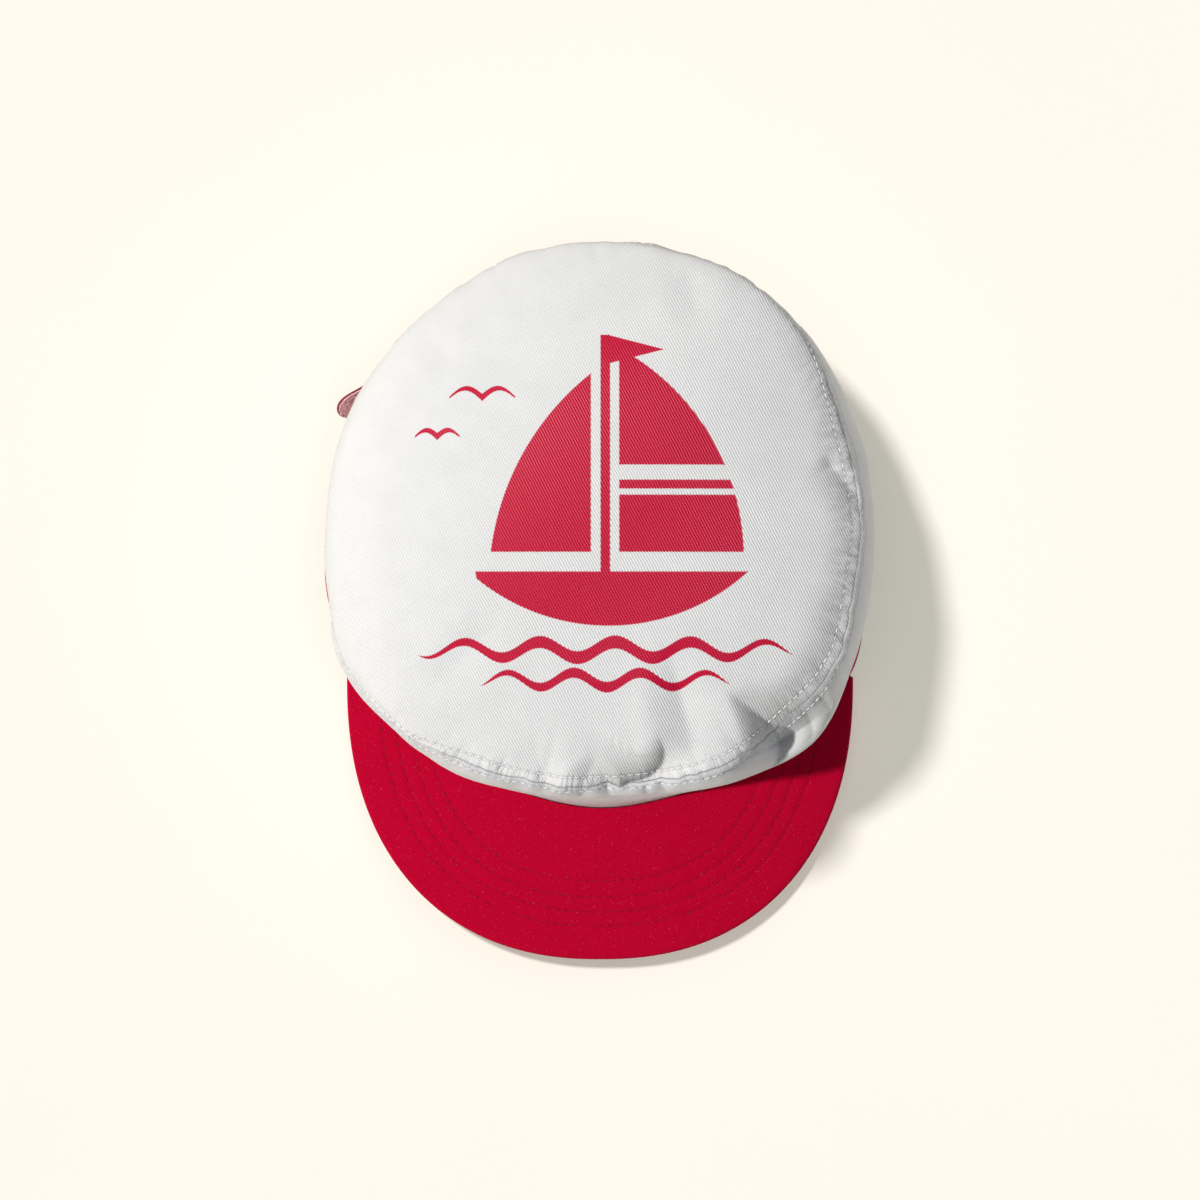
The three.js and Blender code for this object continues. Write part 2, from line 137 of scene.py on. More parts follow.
# The crown's grid, cloth and seam
TOP_COLUMNS = 720
TOP_INNER_ROWS = 40
EDGE_ROWS = 24
EDGE_WIDTH = 11.0  # mm each side of the seam with close rows
EDGE_ROUNDING = 22  # rounds of smoothing
WALL_ROWS = 40
TOP_STEPS = 200  # along the section that the rows are taken from
WALL_STEPS = 900
WAIST_AT = 0.33  # share of the wall's height, from above
WAIST_WIDTH = 0.14
CLOTH = 1.2  # mm thick
WELD = 2e-6  # metres
SEED = 7
ROUND_RADIUS = 94.0  # mm, for lengths along the cloth round the crown
SEAM_TO_ROW = 3.7  # mm from the seam to the stitch row on each side
SPACE = 0.3  # mm between neighbours

# Relief across the seam, in mm: its height, its place from the seam, and its width
SEAM_FORMS = {
    "groove": (-0.42, 0.0, 0.5),
    "allowances": (0.14, 1.9, 1.1),
    "sunk stitch row": (-0.26, SEAM_TO_ROW, 0.6),
}

# Where each form fades out, in mm along the cloth past the top's edge
ROUNDING_FADES = (4.0, 9.5)
SOFTNESS_FADES = (-14.0, 0.0)
GATHERS_FADE = (30.0, 62.0)
FOLDS_FADE = (-4.0, 46.0)

# Gathers: how many, their widths in degrees, their depths in mm, and how far in mm
# they reach on the top and on the wall
WAVES = {
    "count": 26, "widths": (3.0, 6.0), "depths": (-0.8, 0.9),
    "reach_in": (5.0, 8.0), "reach_out": (22.0, 38.0), "seed": SEED + 2,
}
BROAD_GATHERS = {
    "count": 70, "widths": (1.1, 2.4), "depths": (-0.2, 0.7),
    "reach_in": (5.0, 14.0), "reach_out": (6.0, 22.0), "seed": SEED,
}
FINE_GATHERS = {
    "count": 170, "widths": (0.7, 1.1), "depths": (-0.4, 0.5),
    "reach_in": (2.5, 4.5), "reach_out": (2.5, 5.0), "seed": SEED + 1,
}
PUCKER_SHIFT = 0.45  # of the space between two
PUCKER_LEAN = 0.12  # degrees for each mm away from the seam

# Broad unevenness of the top, in mm
SOFT_SPOTS = 34
SOFT_PLACES = 85.0  # from the crown's centre, at most
SOFT_SIZES = (9.0, 24.0)
SOFT_DEPTH = 0.35

# Stitches
STITCH_UNEVEN = 0.05  # mm
STITCH_TWIST = 0.12  # radians
STITCH_SAG = 0.12  # mm at its ends
STITCH_TAPER = 0.8
SEAM_STITCH_SINK = (-0.08, 0.22)  # mm, and how much more at the cap's two sides
SEAM_STITCH_SIDES = (72.0, 84.0)  # mm from the middle, where it grows

# Cloth, its finish and the shade painted on it
SIDE_TWILL = 118.0  # degrees, on the wall's and the bands' cloth laid flat
RIB_WANDER = 0.36  # of the twill's pitch
UNEVEN_TONE = 0.022
FUZZ = 0.35  # in twill heights
FLAT_FUZZ = 0.04  # the same, under ink
TICK_HEIGHT = 5.0  # in twill heights
RED_TINT = (1.0, 0.06, 0.2, 1.0)
LINT = (0.75, 0.12, 0.2)
# Painted shade: EDGE_SHADE mottles the cloth by the seam at +X, the side away from the key light,
# UNDER_SHADE darkens the wall just below the seam, SEAM_SHADE the seam's groove and stitch rows,
# FOLD_SHADE the folds and TICK_SHADE the tiny creases by the seam
EDGE_SHADE = (0.24, 0.245, 0.26, 1.0)
UNDER_SHADE = (0.40, 0.43, 0.50, 1.0)
SEAM_SHADE = (0.10, 0.10, 0.105, 1.0)
FOLD_SHADE = (0.05, 0.048, 0.045, 1.0)
TICK_SHADE = (0.2, 0.2, 0.21, 1.0)
LOOP_DEEP = (0.16, 0.004, 0.014, 1.0)
LOOP_CURLS = (0.46, 0.02, 0.06, 1.0)
PRINT_AT = (1.5, 32.0)  # mm, the middle of the printed picture

# Peak, as in the solids, in mm
PEAK_HALF_WIDTH = 88.9
PEAK_WIDEST_Y = -26.48
PEAK_LENGTH = 97.8
PEAK_POWER = 2.28
PEAK_CREST = 12.5
PEAK_DROOP = 5.5
PEAK_SIDE = 3.4
PEAK_SHOWN = 74.8
PEAK_THICKNESS = 3.2
PEAK_FALL = 1.4  # power of its droop towards the front
PEAK_ARCH = 2.2  # power of its arch across
PEAK_SIDES = 40.0  # mm that its sides would run straight back from its widest place
RIM_FRONT = 98.6  # mm from the crown's centre to where the peak starts in front
RIM_SETTLES = (-45.5, -29.5)  # y in mm between which the rim comes down off the peak
PEAK_CLEAR = 0.06  # mm between the peak and the wall that it is sewn to
EAR_SPACE = 1.79  # mm of peak past the rim where its ears end
LEAST_REACH = 0.05  # mm from the wall to the peak's edge, at the ears' tips
PEAK_COLUMNS = 301
PEAK_ROWS = 110
UNDER_STEP = 3  # the underside has one row for each three of the top
PEAK_STITCH_ROWS = (11.8, 16.8, 22.0, 27.7)  # mm in from the edge
PEAK_STITCH_START = 1.5  # mm from the crown's rim
CHANNEL_DEPTH = 0.28
CHANNEL_WIDTH = 0.75
COVER_SWELL = 0.12

# Bands and strap: sizes in mm, and places round the cap in degrees
BAND_TOP = 23.85
BAND_THICKNESS = 1.6
BAND_HEM = 2.6  # mm from each edge to its stitch row
SECTION_POWERS = (0.6, 0.35)  # these square up the round section of a band or strap
EAR_Y = -26.3  # mm, where the white front wall ends and the bands start
BACK_SPLIT = 12.0
SPLIT_RADIUS = 90.0
STRAP_FROM = 72.0
STRAP_TO = 157.1
STRAP_PEEL_FROM = 147.0
STRAP_PEEL = 7.5
STRAP_HEIGHT = 18.0
STRAP_FOOT = 3.0
STRAP_LEAN = 0.05  # share of the peel at its lower edge
STRAP_THICKNESS = 1.5
STRAP_OFF = 0.5  # mm from the band
STRAP_RADIUS = 91.0
STRAP_TAIL = math.degrees(STRAP_HEIGHT / 2 / STRAP_RADIUS)
STRAP_MIDDLE = STRAP_FOOT + STRAP_HEIGHT / 2
LOOP_THICKNESS = 0.7
HOOK_FROM = 149.0
HOOK_MARGIN = 0.25
HOOK_GAP = 0.02  # mm between the tape and the loop cloth
SEWN_BOX = (2.4, 14.5)  # mm from the strap's fixed end
SEWN_EDGE = 2.4

# Stage, in metres
CAMERA_Y = 0.00152
CAMERA_SEES = 100.0
SENSOR = 36.0  # mm
FLOOR_SIZE = 80.0  # so large that low views see no end of it
FLOOR_Z = -0.0002


# Numbers and curves


def smooth(value, low, high):
    """0 up to low and 1 from high on, with a smooth rise between them."""
    t = np.clip((value - low) / (high - low), 0.0, 1.0)
    return t * t * (3 - 2 * t)


def bell(distance, width):
    """1 in the middle, and falling off on both sides."""
    return np.exp(-(distance / width) ** 2)


def outline(column, angle):
    """A column of OUTLINE at any angle, on a cubic through the four nearest rows."""
    values = OUTLINE[:, OUTLINE_COLUMNS.index(column)]
    place = np.mod(angle, 360.0) / (360.0 / len(values))
    i = np.floor(place).astype(int)
    t = place - i
    a, b, c, d = (values[(i + k) % len(values)] for k in (-1, 0, 1, 2))
    return b + 0.5 * t * (c - a + t * (2 * a - 5 * b + 4 * c - d + t * (3 * (b - c) + d - a)))


def seam_height(y):
    return SEAM_HEIGHT - SEAM_TILT * (y - CENTRE[1])


def directions(angle):
    """Cosine and sine of an angle in degrees."""
    return np.cos(np.radians(angle)), np.sin(np.radians(angle))


def plan(angle, radius):
    """X and Y of places at an angle and radius from the crown's centre."""
    c, s = directions(angle)
    return CENTRE[0] + radius * c, CENTRE[1] + radius * s


def around(x, y):
    """Angle and radius of places, from the crown's centre."""
    dx, dy = x - CENTRE[0], y - CENTRE[1]
    return np.degrees(np.arctan2(dy, dx)) % 360, np.hypot(dx, dy)


def peak_top(x, y):
    """Height of the peak's upper face, which is arched across and droops towards the front."""
    forward = np.clip((CENTRE[1] - RIM_FRONT - y) / PEAK_SHOWN, 0.0, 1.0)
    crest = PEAK_CREST - PEAK_DROOP * forward ** PEAK_FALL
    across = np.minimum(np.abs(x - CENTRE[0]) / PEAK_HALF_WIDTH, 1.02)
    return PEAK_SIDE + (crest - PEAK_SIDE) * (1 - across ** PEAK_ARCH)


def rim_height(angle):
    """Height of the wall's lower edge: on the floor, and in front on the peak's lower face."""
    x, y = plan(angle, outline("rim", angle))
    return (peak_top(x, y) - PEAK_THICKNESS) * (1 - smooth(y, *RIM_SETTLES))


def beside_curve(ends, u, v):
    """How far places are beside a smooth curve through three points, and how far along it.

    Past its ends the curve goes on straight."""
    first, middle, last = ends
    bend = 2 * (first - 2 * middle + last)
    slope = 4 * middle - 3 * first - last
    best = np.full(u.shape, np.inf)
    t = np.zeros_like(u)
    for start_t in np.linspace(0, 1, FOLD_STEPS + 1):
        x, y = (bend * start_t + slope) * start_t + first
        nearer = np.hypot(u - x, v - y) < best
        best = np.where(nearer, np.hypot(u - x, v - y), best)
        t = np.where(nearer, start_t, t)
    for _ in range(FOLD_REFINING):
        x = (bend[0] * t + slope[0]) * t + first[0] - u
        y = (bend[1] * t + slope[1]) * t + first[1] - v
        dx, dy = 2 * bend[0] * t + slope[0], 2 * bend[1] * t + slope[1]
        speed = dx * dx + dy * dy
        curving = speed + 2 * (x * bend[0] + y * bend[1])
        t = np.clip(t - (x * dx + y * dy) / np.maximum(curving, 0.3 * speed), 0.0, 1.0)
    x = u - (bend[0] * t + slope[0]) * t - first[0]
    y = v - (bend[1] * t + slope[1]) * t - first[1]
    dx, dy = 2 * bend[0] * t + slope[0], 2 * bend[1] * t + slope[1]
    past = np.where((t <= 0) | (t >= 1), (x * dx + y * dy) / (dx * dx + dy * dy), 0.0)
    x, y = x - past * dx, y - past * dy
    return np.copysign(np.hypot(x, y), y * dx - x * dy), t + past


def fold_depth(u, v):
    """Depth of the folds at a place on the cloth laid flat, less their swells, and their painted shade.
    """
    total = np.zeros_like(u)
    dark = np.zeros_like(u)
    for row in FOLDS:
        f = dict(zip(FOLD_COLUMNS, row))
        ends = np.array([(f["x0"], f["y0"]), (f["x1"], f["y1"]), (f["x2"], f["y2"])])
        side, along = beside_curve(ends, u, v)
        grown = np.clip(along / f["onset"], 0.0, 1.0)
        taper = smooth(grown, -0.2, 1.0) if f["flare"] < 0.1 else grown
        if math.hypot(f["x2"], f["y2"]) < INNER_FOLD:
            taper = taper * (1 - smooth(along, 0.9, 1.35))
        width = np.where(side > 0, f["left"], f["right"]) * (1 - f["flare"] * (1 - grown))
        puff = np.where(side > 0, f["puff_left"], f["puff_right"]) * taper
        power = np.where(side > 0, 1.5, f["edge"] or 1.0)
        valley = np.exp(-(np.abs(side) / width) ** power)
        if f["edge"] == FACET:
            slope = np.log1p(np.exp(FACET_CORNER * (1 - np.abs(side) / width))) / FACET_CORNER
            valley = np.where(side > 0, valley, slope ** FACET_HOLLOW)
        swell = puff * bell(np.abs(side) - 2.1 * width, 0.9 * width)
        total += taper * f["depth"] * valley - swell
        # Painted shade: darkest at the crease, and reaching far only on its right side
        if f["shade"]:
            near = np.where(side > 0, bell(side, 0.5), np.exp(side / (SHADE_REACH * width)))
            fade = smooth(along, 0.0, 0.25) * (1 - smooth(along, 0.85, 1.15))
            dark = np.maximum(dark, f["shade"] * fade * near)
    return total, dark


def puckers(angle, off, count, widths, depths, reach_in, reach_out, seed):
    """Ridges and hollows across the seam, off mm from it: the top is below 0, the wall above."""
    rng = np.random.default_rng(seed)
    total = np.zeros(np.broadcast(angle, off).shape)
    for i in range(count):
        middle = 360.0 * (i + rng.uniform(-PUCKER_SHIFT, PUCKER_SHIFT)) / count
        width = rng.uniform(*widths)
        depth = rng.uniform(*depths)
        inwards, outwards = rng.uniform(*reach_in), rng.uniform(*reach_out)
        lean = rng.uniform(-PUCKER_LEAN, PUCKER_LEAN)
        turn = np.mod(angle - middle - lean * off + 180.0, 360.0) - 180.0
        fade = np.where(off < 0, bell(off, inwards), bell(off, outwards))
        total += depth * fade * bell(turn, width)
    return total


def gathers(angle, off):
    """Cloth drawn in by the seam: long waves down the wall, broad gathers and fine ones."""
    waves, broad, fine = (
        puckers(angle, off, **kind) for kind in (WAVES, BROAD_GATHERS, FINE_GATHERS))
    return waves + (broad + fine) * outline("pucker", angle)


def seam_relief(angle, off):
    """The seam's groove, the swell of its allowances and the sunk stitch row on each side."""
    far = np.abs(off)
    forms = sum(height * bell(far - at, width) for height, at, width in SEAM_FORMS.values())
    return forms * outline("relief", angle)


def softness(u, v):
    """Broad, shallow unevenness of the top."""
    rng = np.random.default_rng(SEED + 4)
    total = np.zeros_like(u)
    for _ in range(SOFT_SPOTS):
        x, y = rng.uniform(-SOFT_PLACES, SOFT_PLACES, 2)
        size = rng.uniform(*SOFT_SIZES)
        depth = rng.uniform(-SOFT_DEPTH, SOFT_DEPTH)
        total += depth * np.exp(-((u - x) ** 2 + (v - y) ** 2) / size ** 2)
    return total


def grid_normals(points):
    """Outward normals of a wrapped grid of points, rows down and columns round."""
    round_ = np.roll(points, -1, axis=1) - np.roll(points, 1, axis=1)
    down = np.gradient(points, axis=0)
    down[0] = points[1] - points[0]
    normal = np.cross(down, round_)
    return normal / np.maximum(np.linalg.norm(normal, axis=2, keepdims=True), 1e-12)


def bare_section(angle):
    """The crown's section before folds: lengths along it from the top's edge, radii, heights."""
    _, s = directions(angle)
    edge, belly, rim = (outline(name, angle) for name in ("edge", "belly", "rim"))
    share = np.linspace(0, 1, TOP_STEPS)[:, None]
    top_r = share * edge
    top_z = seam_height(CENTRE[1] + top_r * s) + DOME_RISE * (1 - share ** DOME_POWER)
    down = np.linspace(0, 1, WALL_STEPS)[1:, None]
    turn = (1 - np.clip(down / BELLY_AT, 0, 1)) ** outline("roll", angle)
    fall = (np.clip(down - BELLY_AT, 0, 1) / (1 - BELLY_AT)) ** BELLY_FALL
    wall_r = np.where(down < BELLY_AT, belly - (belly - edge) * turn, belly - (belly - rim) * fall)
    wall_r = wall_r - outline("waist", angle) * bell(down - WAIST_AT, WAIST_WIDTH)
    wall_z = top_z[-1] + (rim_height(angle) - top_z[-1]) * down
    radius, height = np.vstack([top_r, wall_r]), np.vstack([top_z, wall_z])
    step = np.hypot(np.diff(radius, axis=0), np.diff(height, axis=0))[TOP_STEPS - 1:]
    return np.vstack([top_r - edge, np.cumsum(step, axis=0)]), radius, height


def crown_points():
    """The crown's outer face as a wrapped grid in mm, with each point's way past the seam and the
    painted shade of the folds there.
    """
    angle = np.arange(TOP_COLUMNS) * 360.0 / TOP_COLUMNS
    c, s = directions(angle)
    length, radius, height = bare_section(angle)
    edge, drop = outline("edge", angle), outline("drop", angle)

    def steps(first, last, count):
        return first + (last - first) * np.linspace(0, 1, count, endpoint=False)[:, None]

    along = np.vstack([
        steps(-edge, drop - EDGE_WIDTH, TOP_INNER_ROWS),
        steps(drop - EDGE_WIDTH, drop + EDGE_WIDTH, 2 * EDGE_ROWS),
        steps(drop + EDGE_WIDTH, length[-1], WALL_ROWS),
        length[-1:],
    ])
    columns = range(TOP_COLUMNS)
    r = np.stack([np.interp(along[:, j], length[:, j], radius[:, j]) for j in columns], axis=1)
    z = np.stack([np.interp(along[:, j], length[:, j], height[:, j]) for j in columns], axis=1)
    points = np.stack([*plan(angle, r), z], axis=2)
    share = 0.5 * (1 - smooth(np.abs(along[1:-1]), *ROUNDING_FADES))[:, :, None]
    for _ in range(EDGE_ROUNDING):  # rounds the turn at the top's edge
        points[1:-1] += share * (0.5 * (points[:-2] + points[2:]) - points[1:-1])
    normal = grid_normals(points)
    normal[0] = (0, 0, 1)
    for _ in range(4):
        normal[1:-1] = normal[:-2] + 2 * normal[1:-1] + normal[2:]
        normal /= np.linalg.norm(normal, axis=2, keepdims=True)

    off = along - drop
    u, v = (edge + along) * c, (edge + along) * s
    lift = softness(u, v) * (1 - smooth(along, *SOFTNESS_FADES)) + seam_relief(angle, off)
    lift -= gathers(angle, off)
    kept = (1 - smooth(along, *GATHERS_FADE))[:, :, None]
    moved = points + kept * normal * lift[:, :, None]
    depth, dark = fold_depth(u, v)
    moved[:, :, 2] -= depth * (1 - smooth(along, *FOLDS_FADE))
    moved[0] = moved[0].mean(axis=0)
    return angle, off, moved, dark, TOP_INNER_ROWS + EDGE_ROWS


CROWN = {}


def crown():
    """The crown's face, worked out once and kept."""
    if not CROWN:
        angle, off, points, dark, seam_row = crown_points()
        CROWN.update(angle=angle, off=off, points=points, dark=dark, seam_row=seam_row,
                     normals=grid_normals(points))
    return CROWN


# Meshes


def start():
    """Leaves edit mode and deselects everything."""
    if bpy.context.object and bpy.context.object.mode != "OBJECT":
        bpy.ops.object.mode_set(mode="OBJECT")
    bpy.ops.object.select_all(action="DESELECT")


def pick(obj):
    start()
    obj.select_set(True)
    bpy.context.view_layer.objects.active = obj


def shaped_grid(name, points, uv, dark=None):
    """A grid primitive whose points are moved to points[row][column], in mm, with uv in mm.

    Rows run along the grid's Y and columns along its X."""
    rows, columns = points.shape[:2]
    start()
    bpy.ops.mesh.primitive_grid_add(x_subdivisions=columns - 1, y_subdivisions=rows - 1, size=1.0)
    obj = bpy.context.object
    obj.name = name
    mesh = obj.data
    mesh.name = name
    flat = np.empty(len(mesh.vertices) * 3)
    mesh.vertices.foreach_get("co", flat)
    place = flat.reshape(-1, 3)
    i = np.rint((place[:, 1] + 0.5) * (rows - 1)).astype(int)
    j = np.rint((place[:, 0] + 0.5) * (columns - 1)).astype(int)
    corner = np.empty(len(mesh.loops), dtype=int)
    mesh.loops.foreach_get("vertex_index", corner)
    layer = mesh.uv_layers.active
    layer.data.foreach_set("uv", (uv[i, j] * MM)[corner].ravel())
    mesh.vertices.foreach_set("co", (points[i, j] * MM).ravel())
    # dark is the painted shade of the folds, kept on the mesh as the attribute crease
    if dark is not None:
        mesh.attributes.new("crease", "FLOAT", "POINT").data.foreach_set("value", dark[i, j])
    mesh.update()
    bpy.ops.object.mode_set(mode="EDIT")
    bpy.ops.mesh.select_all(action="SELECT")
    bpy.ops.mesh.remove_doubles(threshold=WELD)
    bpy.ops.mesh.flip_normals()
    bpy.ops.object.mode_set(mode="OBJECT")
    return obj


def face_outwards(obj):
    pick(obj)
    bpy.ops.object.mode_set(mode="EDIT")
    bpy.ops.mesh.select_all(action="SELECT")
    bpy.ops.mesh.normals_make_consistent(inside=False)
    bpy.ops.object.mode_set(mode="OBJECT")


def close_ends(obj):
    """Fills the open ends of a tube-like mesh."""
    pick(obj)
    bpy.ops.object.mode_set(mode="EDIT")
    bpy.ops.mesh.select_all(action="DESELECT")
    bpy.ops.mesh.select_mode(type="EDGE")
    bpy.ops.mesh.select_non_manifold()
    bpy.ops.mesh.fill_holes(sides=0)
    bpy.ops.mesh.select_mode(type="VERT")
    bpy.ops.object.mode_set(mode="OBJECT")
    face_outwards(obj)


def thicken(obj, thickness):
    pick(obj)
    solid = obj.modifiers.new("Thickness", "SOLIDIFY")
    solid.thickness = thickness * MM
    solid.offset = -1.0
    bpy.ops.object.modifier_apply(modifier=solid.name)


def wrapped(grid):
    """A grid with its first column again at its end."""
    return np.concatenate([grid, grid[:, :1]], axis=1)


def round_uv(angle, up):
    """The cloth laid flat: lengths round the cap, and up."""
    length = np.radians(angle)[None, :] * ROUND_RADIUS + 0 * up
    return np.stack([length, up], axis=2)


def ring_path(angle, height, radius):
    """Points along a line round the cap, and the directions that face out there."""
    c, s = directions(angle)
    points = np.column_stack([*plan(angle, radius), height + 0 * angle])
    return points, np.column_stack([c, s, 0 * c])


def finish_piece(obj, material, nodes=()):
    """Gives a piece its material, the body it rides on and the nodes it replaces."""
    pick(obj)
    bpy.ops.object.shade_smooth()
    obj.data.materials.clear()
    obj.data.materials.append(material)
    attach(obj, "root")
    if nodes:
        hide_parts(*nodes)


def stitch_row(points, normals, length, gap, radius, sink):
    """Stitches along a path of points in mm: both ends of each, its normal, radius and sink."""
    step = np.linalg.norm(np.diff(points, axis=0), axis=1)
    along = np.concatenate([[0], np.cumsum(step)])
    count = int(along[-1] // (length + gap))
    pitch = along[-1] / count
    rows = []
    for k in range(count):
        a, b = k * pitch, k * pitch + length * pitch / (length + gap)
        ends = [np.array([np.interp(t, along, points[:, n]) for n in range(3)]) for t in (a, b)]
        normal = np.array([np.interp((a + b) / 2, along, normals[:, n]) for n in range(3)])
        rows.append((ends[0], ends[1], normal / np.linalg.norm(normal), radius, sink))
    return rows


def from_lowest(face):
    """The same face, started at its lowest vertex."""
    at = face.index(min(face))
    return face[at:] + face[:at]


def stitches(name, rows, material):
    """One stitch is modelled, and copied along the rows into one piece."""
    start()
    bpy.ops.mesh.primitive_uv_sphere_add(segments=8, ring_count=6, radius=1.0)
    model = bpy.context.object
    verts = np.array([v.co[:] for v in model.data.vertices])
    # the primitive's faces come in a changing order, and sorting gives each run the same mesh
    faces = sorted(from_lowest(list(p.vertices)) for p in model.data.polygons)
    bpy.data.objects.remove(model)
    all_verts, all_faces = [], []
    rng = np.random.default_rng(SEED + len(rows))
    for a, b, normal, radius, sink in rows:
        middle = (a + b) / 2 - normal * sink
        middle = middle + normal * rng.uniform(-STITCH_UNEVEN, STITCH_UNEVEN)
        along = b - a
        half = np.linalg.norm(along) / 2
        along = along / (2 * half)
        across = np.cross(normal, along)
        across /= np.linalg.norm(across)
        up = np.cross(along, across)
        twist = rng.uniform(-STITCH_TWIST, STITCH_TWIST)
        x = along * math.cos(twist) + across * math.sin(twist)
        y = across * math.cos(twist) - along * math.sin(twist)
        tapered = np.sign(verts[:, 2]) * np.abs(verts[:, 2]) ** STITCH_TAPER
        body = (
            middle
            + np.outer(tapered * half, x)
            + np.outer(verts[:, 0] * radius, y)
            + np.outer(verts[:, 1] * radius - STITCH_SAG * tapered ** 2, up)
        )
        base = len(all_verts) * len(verts)
        all_faces.extend([[base + i for i in face] for face in faces])
        all_verts.append(body)
    mesh = bpy.data.meshes.new(name)
    mesh.from_pydata((np.vstack(all_verts) * MM).tolist(), [], all_faces)
    obj = bpy.data.objects.new(name, mesh)
    bpy.context.scene.collection.objects.link(obj)
    face_outwards(obj)
    finish_piece(obj, material)
    return obj


# Materials


class Nodes:
    """Short ways to add and join shader nodes."""

    def __init__(self, name):
        self.material = bpy.data.materials.new(name)
        self.material.use_nodes = True
        self.tree = self.material.node_tree
        self.tree.nodes.clear()
        self.output = self.add("ShaderNodeOutputMaterial")
        self.shader = self.add("ShaderNodeBsdfPrincipled")
        self.tree.links.new(self.shader.outputs["BSDF"], self.output.inputs["Surface"])

    def add(self, kind, **values):
        node = self.tree.nodes.new(kind)
        for key, value in values.items():
            setattr(node, key, value)
        return node

    def put(self, socket, value):
        if isinstance(value, bpy.types.NodeSocket):
            self.tree.links.new(value, socket)
        else:
            socket.default_value = value

    def math(self, operation, a, b=0.0):
        node = self.add("ShaderNodeMath", operation=operation)
        self.put(node.inputs[0], a)
        self.put(node.inputs[1], b)
        return node.outputs[0]

    def plus(self, a, b):
        return self.math("ADD", a, b)

    def less(self, a, b):
        return self.math("SUBTRACT", a, b)

    def times(self, a, b):
        return self.math("MULTIPLY", a, b)

    def least(self, a, b):
        return self.math("MINIMUM", a, b)

    def most(self, a, b):
        return self.math("MAXIMUM", a, b)

    def ranged(self, value, a, b, low=0.0, high=1.0, kind="LINEAR"):
        node = self.add("ShaderNodeMapRange", interpolation_type=kind)
        for socket, number in zip(node.inputs[:5], (value, a, b, low, high)):
            self.put(socket, number)
        return node.outputs[0]

    def noise(self, vector, scale, detail=2.0, roughness=0.5):
        node = self.add("ShaderNodeTexNoise")
        self.put(node.inputs["Vector"], vector)
        self.put(node.inputs["Scale"], scale)
        self.put(node.inputs["Detail"], detail)
        self.put(node.inputs["Roughness"], roughness)
        return node.outputs["Fac"]

    def mix(self, factor, a, b, blend="MIX"):
        node = self.add("ShaderNodeMix", data_type="RGBA", blend_type=blend)
        self.put(node.inputs[0], factor)
        self.put(node.inputs[6], a)
        self.put(node.inputs[7], b)
        return node.outputs[2]

    def split(self, vector):
        node = self.add("ShaderNodeSeparateXYZ")
        self.put(node.inputs[0], vector)
        return node.outputs

    def object_place(self):
        return self.add("ShaderNodeTexCoord").outputs["Object"]

    def cloth_place(self):
        return self.add("ShaderNodeUVMap").outputs["UV"]

    def grey(self, value):
        node = self.add("ShaderNodeCombineColor")
        for socket in node.inputs[:3]:
            self.put(socket, value)
        return node.outputs[0]

    def seam_place(self, along_scale, off_scale):
        """The place along the seam and off it, each at a scale of its own."""
        along, off, _ = self.split(self.cloth_place())
        node = self.add("ShaderNodeCombineXYZ")
        self.put(node.inputs[0], self.times(along, along_scale))
        self.put(node.inputs[1], self.times(off, off_scale))
        return node.outputs[0]

    def bump(self, height, distance):
        node = self.add("ShaderNodeBump")
        node.inputs["Distance"].default_value = distance
        self.put(node.inputs["Height"], height)
        return node.outputs["Normal"]

    def surface(self, colour, roughness, normal=None, sheen=0.0, specular=0.3, tint=None):
        self.put(self.shader.inputs["Base Color"], colour)
        self.put(self.shader.inputs["Roughness"], roughness)
        self.shader.inputs["Sheen Weight"].default_value = sheen
        self.shader.inputs["Sheen Roughness"].default_value = 0.5
        self.shader.inputs["Specular IOR Level"].default_value = specular
        if tint:
            self.shader.inputs["Specular Tint"].default_value = tint
            self.shader.inputs["Sheen Tint"].default_value = tint
        if normal is not None:
            self.put(self.shader.inputs["Normal"], normal)
        return self.material


def linear(colour):
    """A colour with its alpha, as sockets take it."""
    return (*colour[:3], 1.0)


def twill(n, place, pitch, angle):
    """Height of a diagonal twill in 0 to 1: ribs at an angle, broken into yarns along them."""
    x, y, _ = n.split(place)
    a = math.radians(angle)
    wander = n.noise(place, 260.0, 1.0)
    across = n.plus(n.times(x, math.cos(a) / pitch), n.times(y, math.sin(a) / pitch))
    along = n.plus(n.times(x, -math.sin(a) / pitch), n.times(y, math.cos(a) / pitch))
    across = n.plus(across, n.times(wander, RIB_WANDER))
    rib = n.math("SINE", n.times(across, 2 * math.pi))
    yarn = n.math("SINE", n.times(n.plus(n.times(along, 1.35), n.times(across, 0.5)), 2 * math.pi))
    height = n.plus(n.times(rib, 0.36), n.times(yarn, 0.10))
    return n.plus(height, 0.5)


def seam_ticks(n):
    """Tiny creases across the sewn edge, from -0.5 to 0.5 and fading away from the seam."""
    creases = n.less(n.noise(n.seam_place(560.0, 160.0), 1.0, 2.0, 0.6), 0.5)
    return n.times(creases, n.ranged(seam_distance(n), 3.4, 6.4, 1.0, 0.0, "SMOOTHSTEP"))


def seam_distance(n):
    """How far the cloth is from the seam, in mm."""
    return n.times(n.math("ABSOLUTE", n.split(n.cloth_place())[1]), 1 / MM)


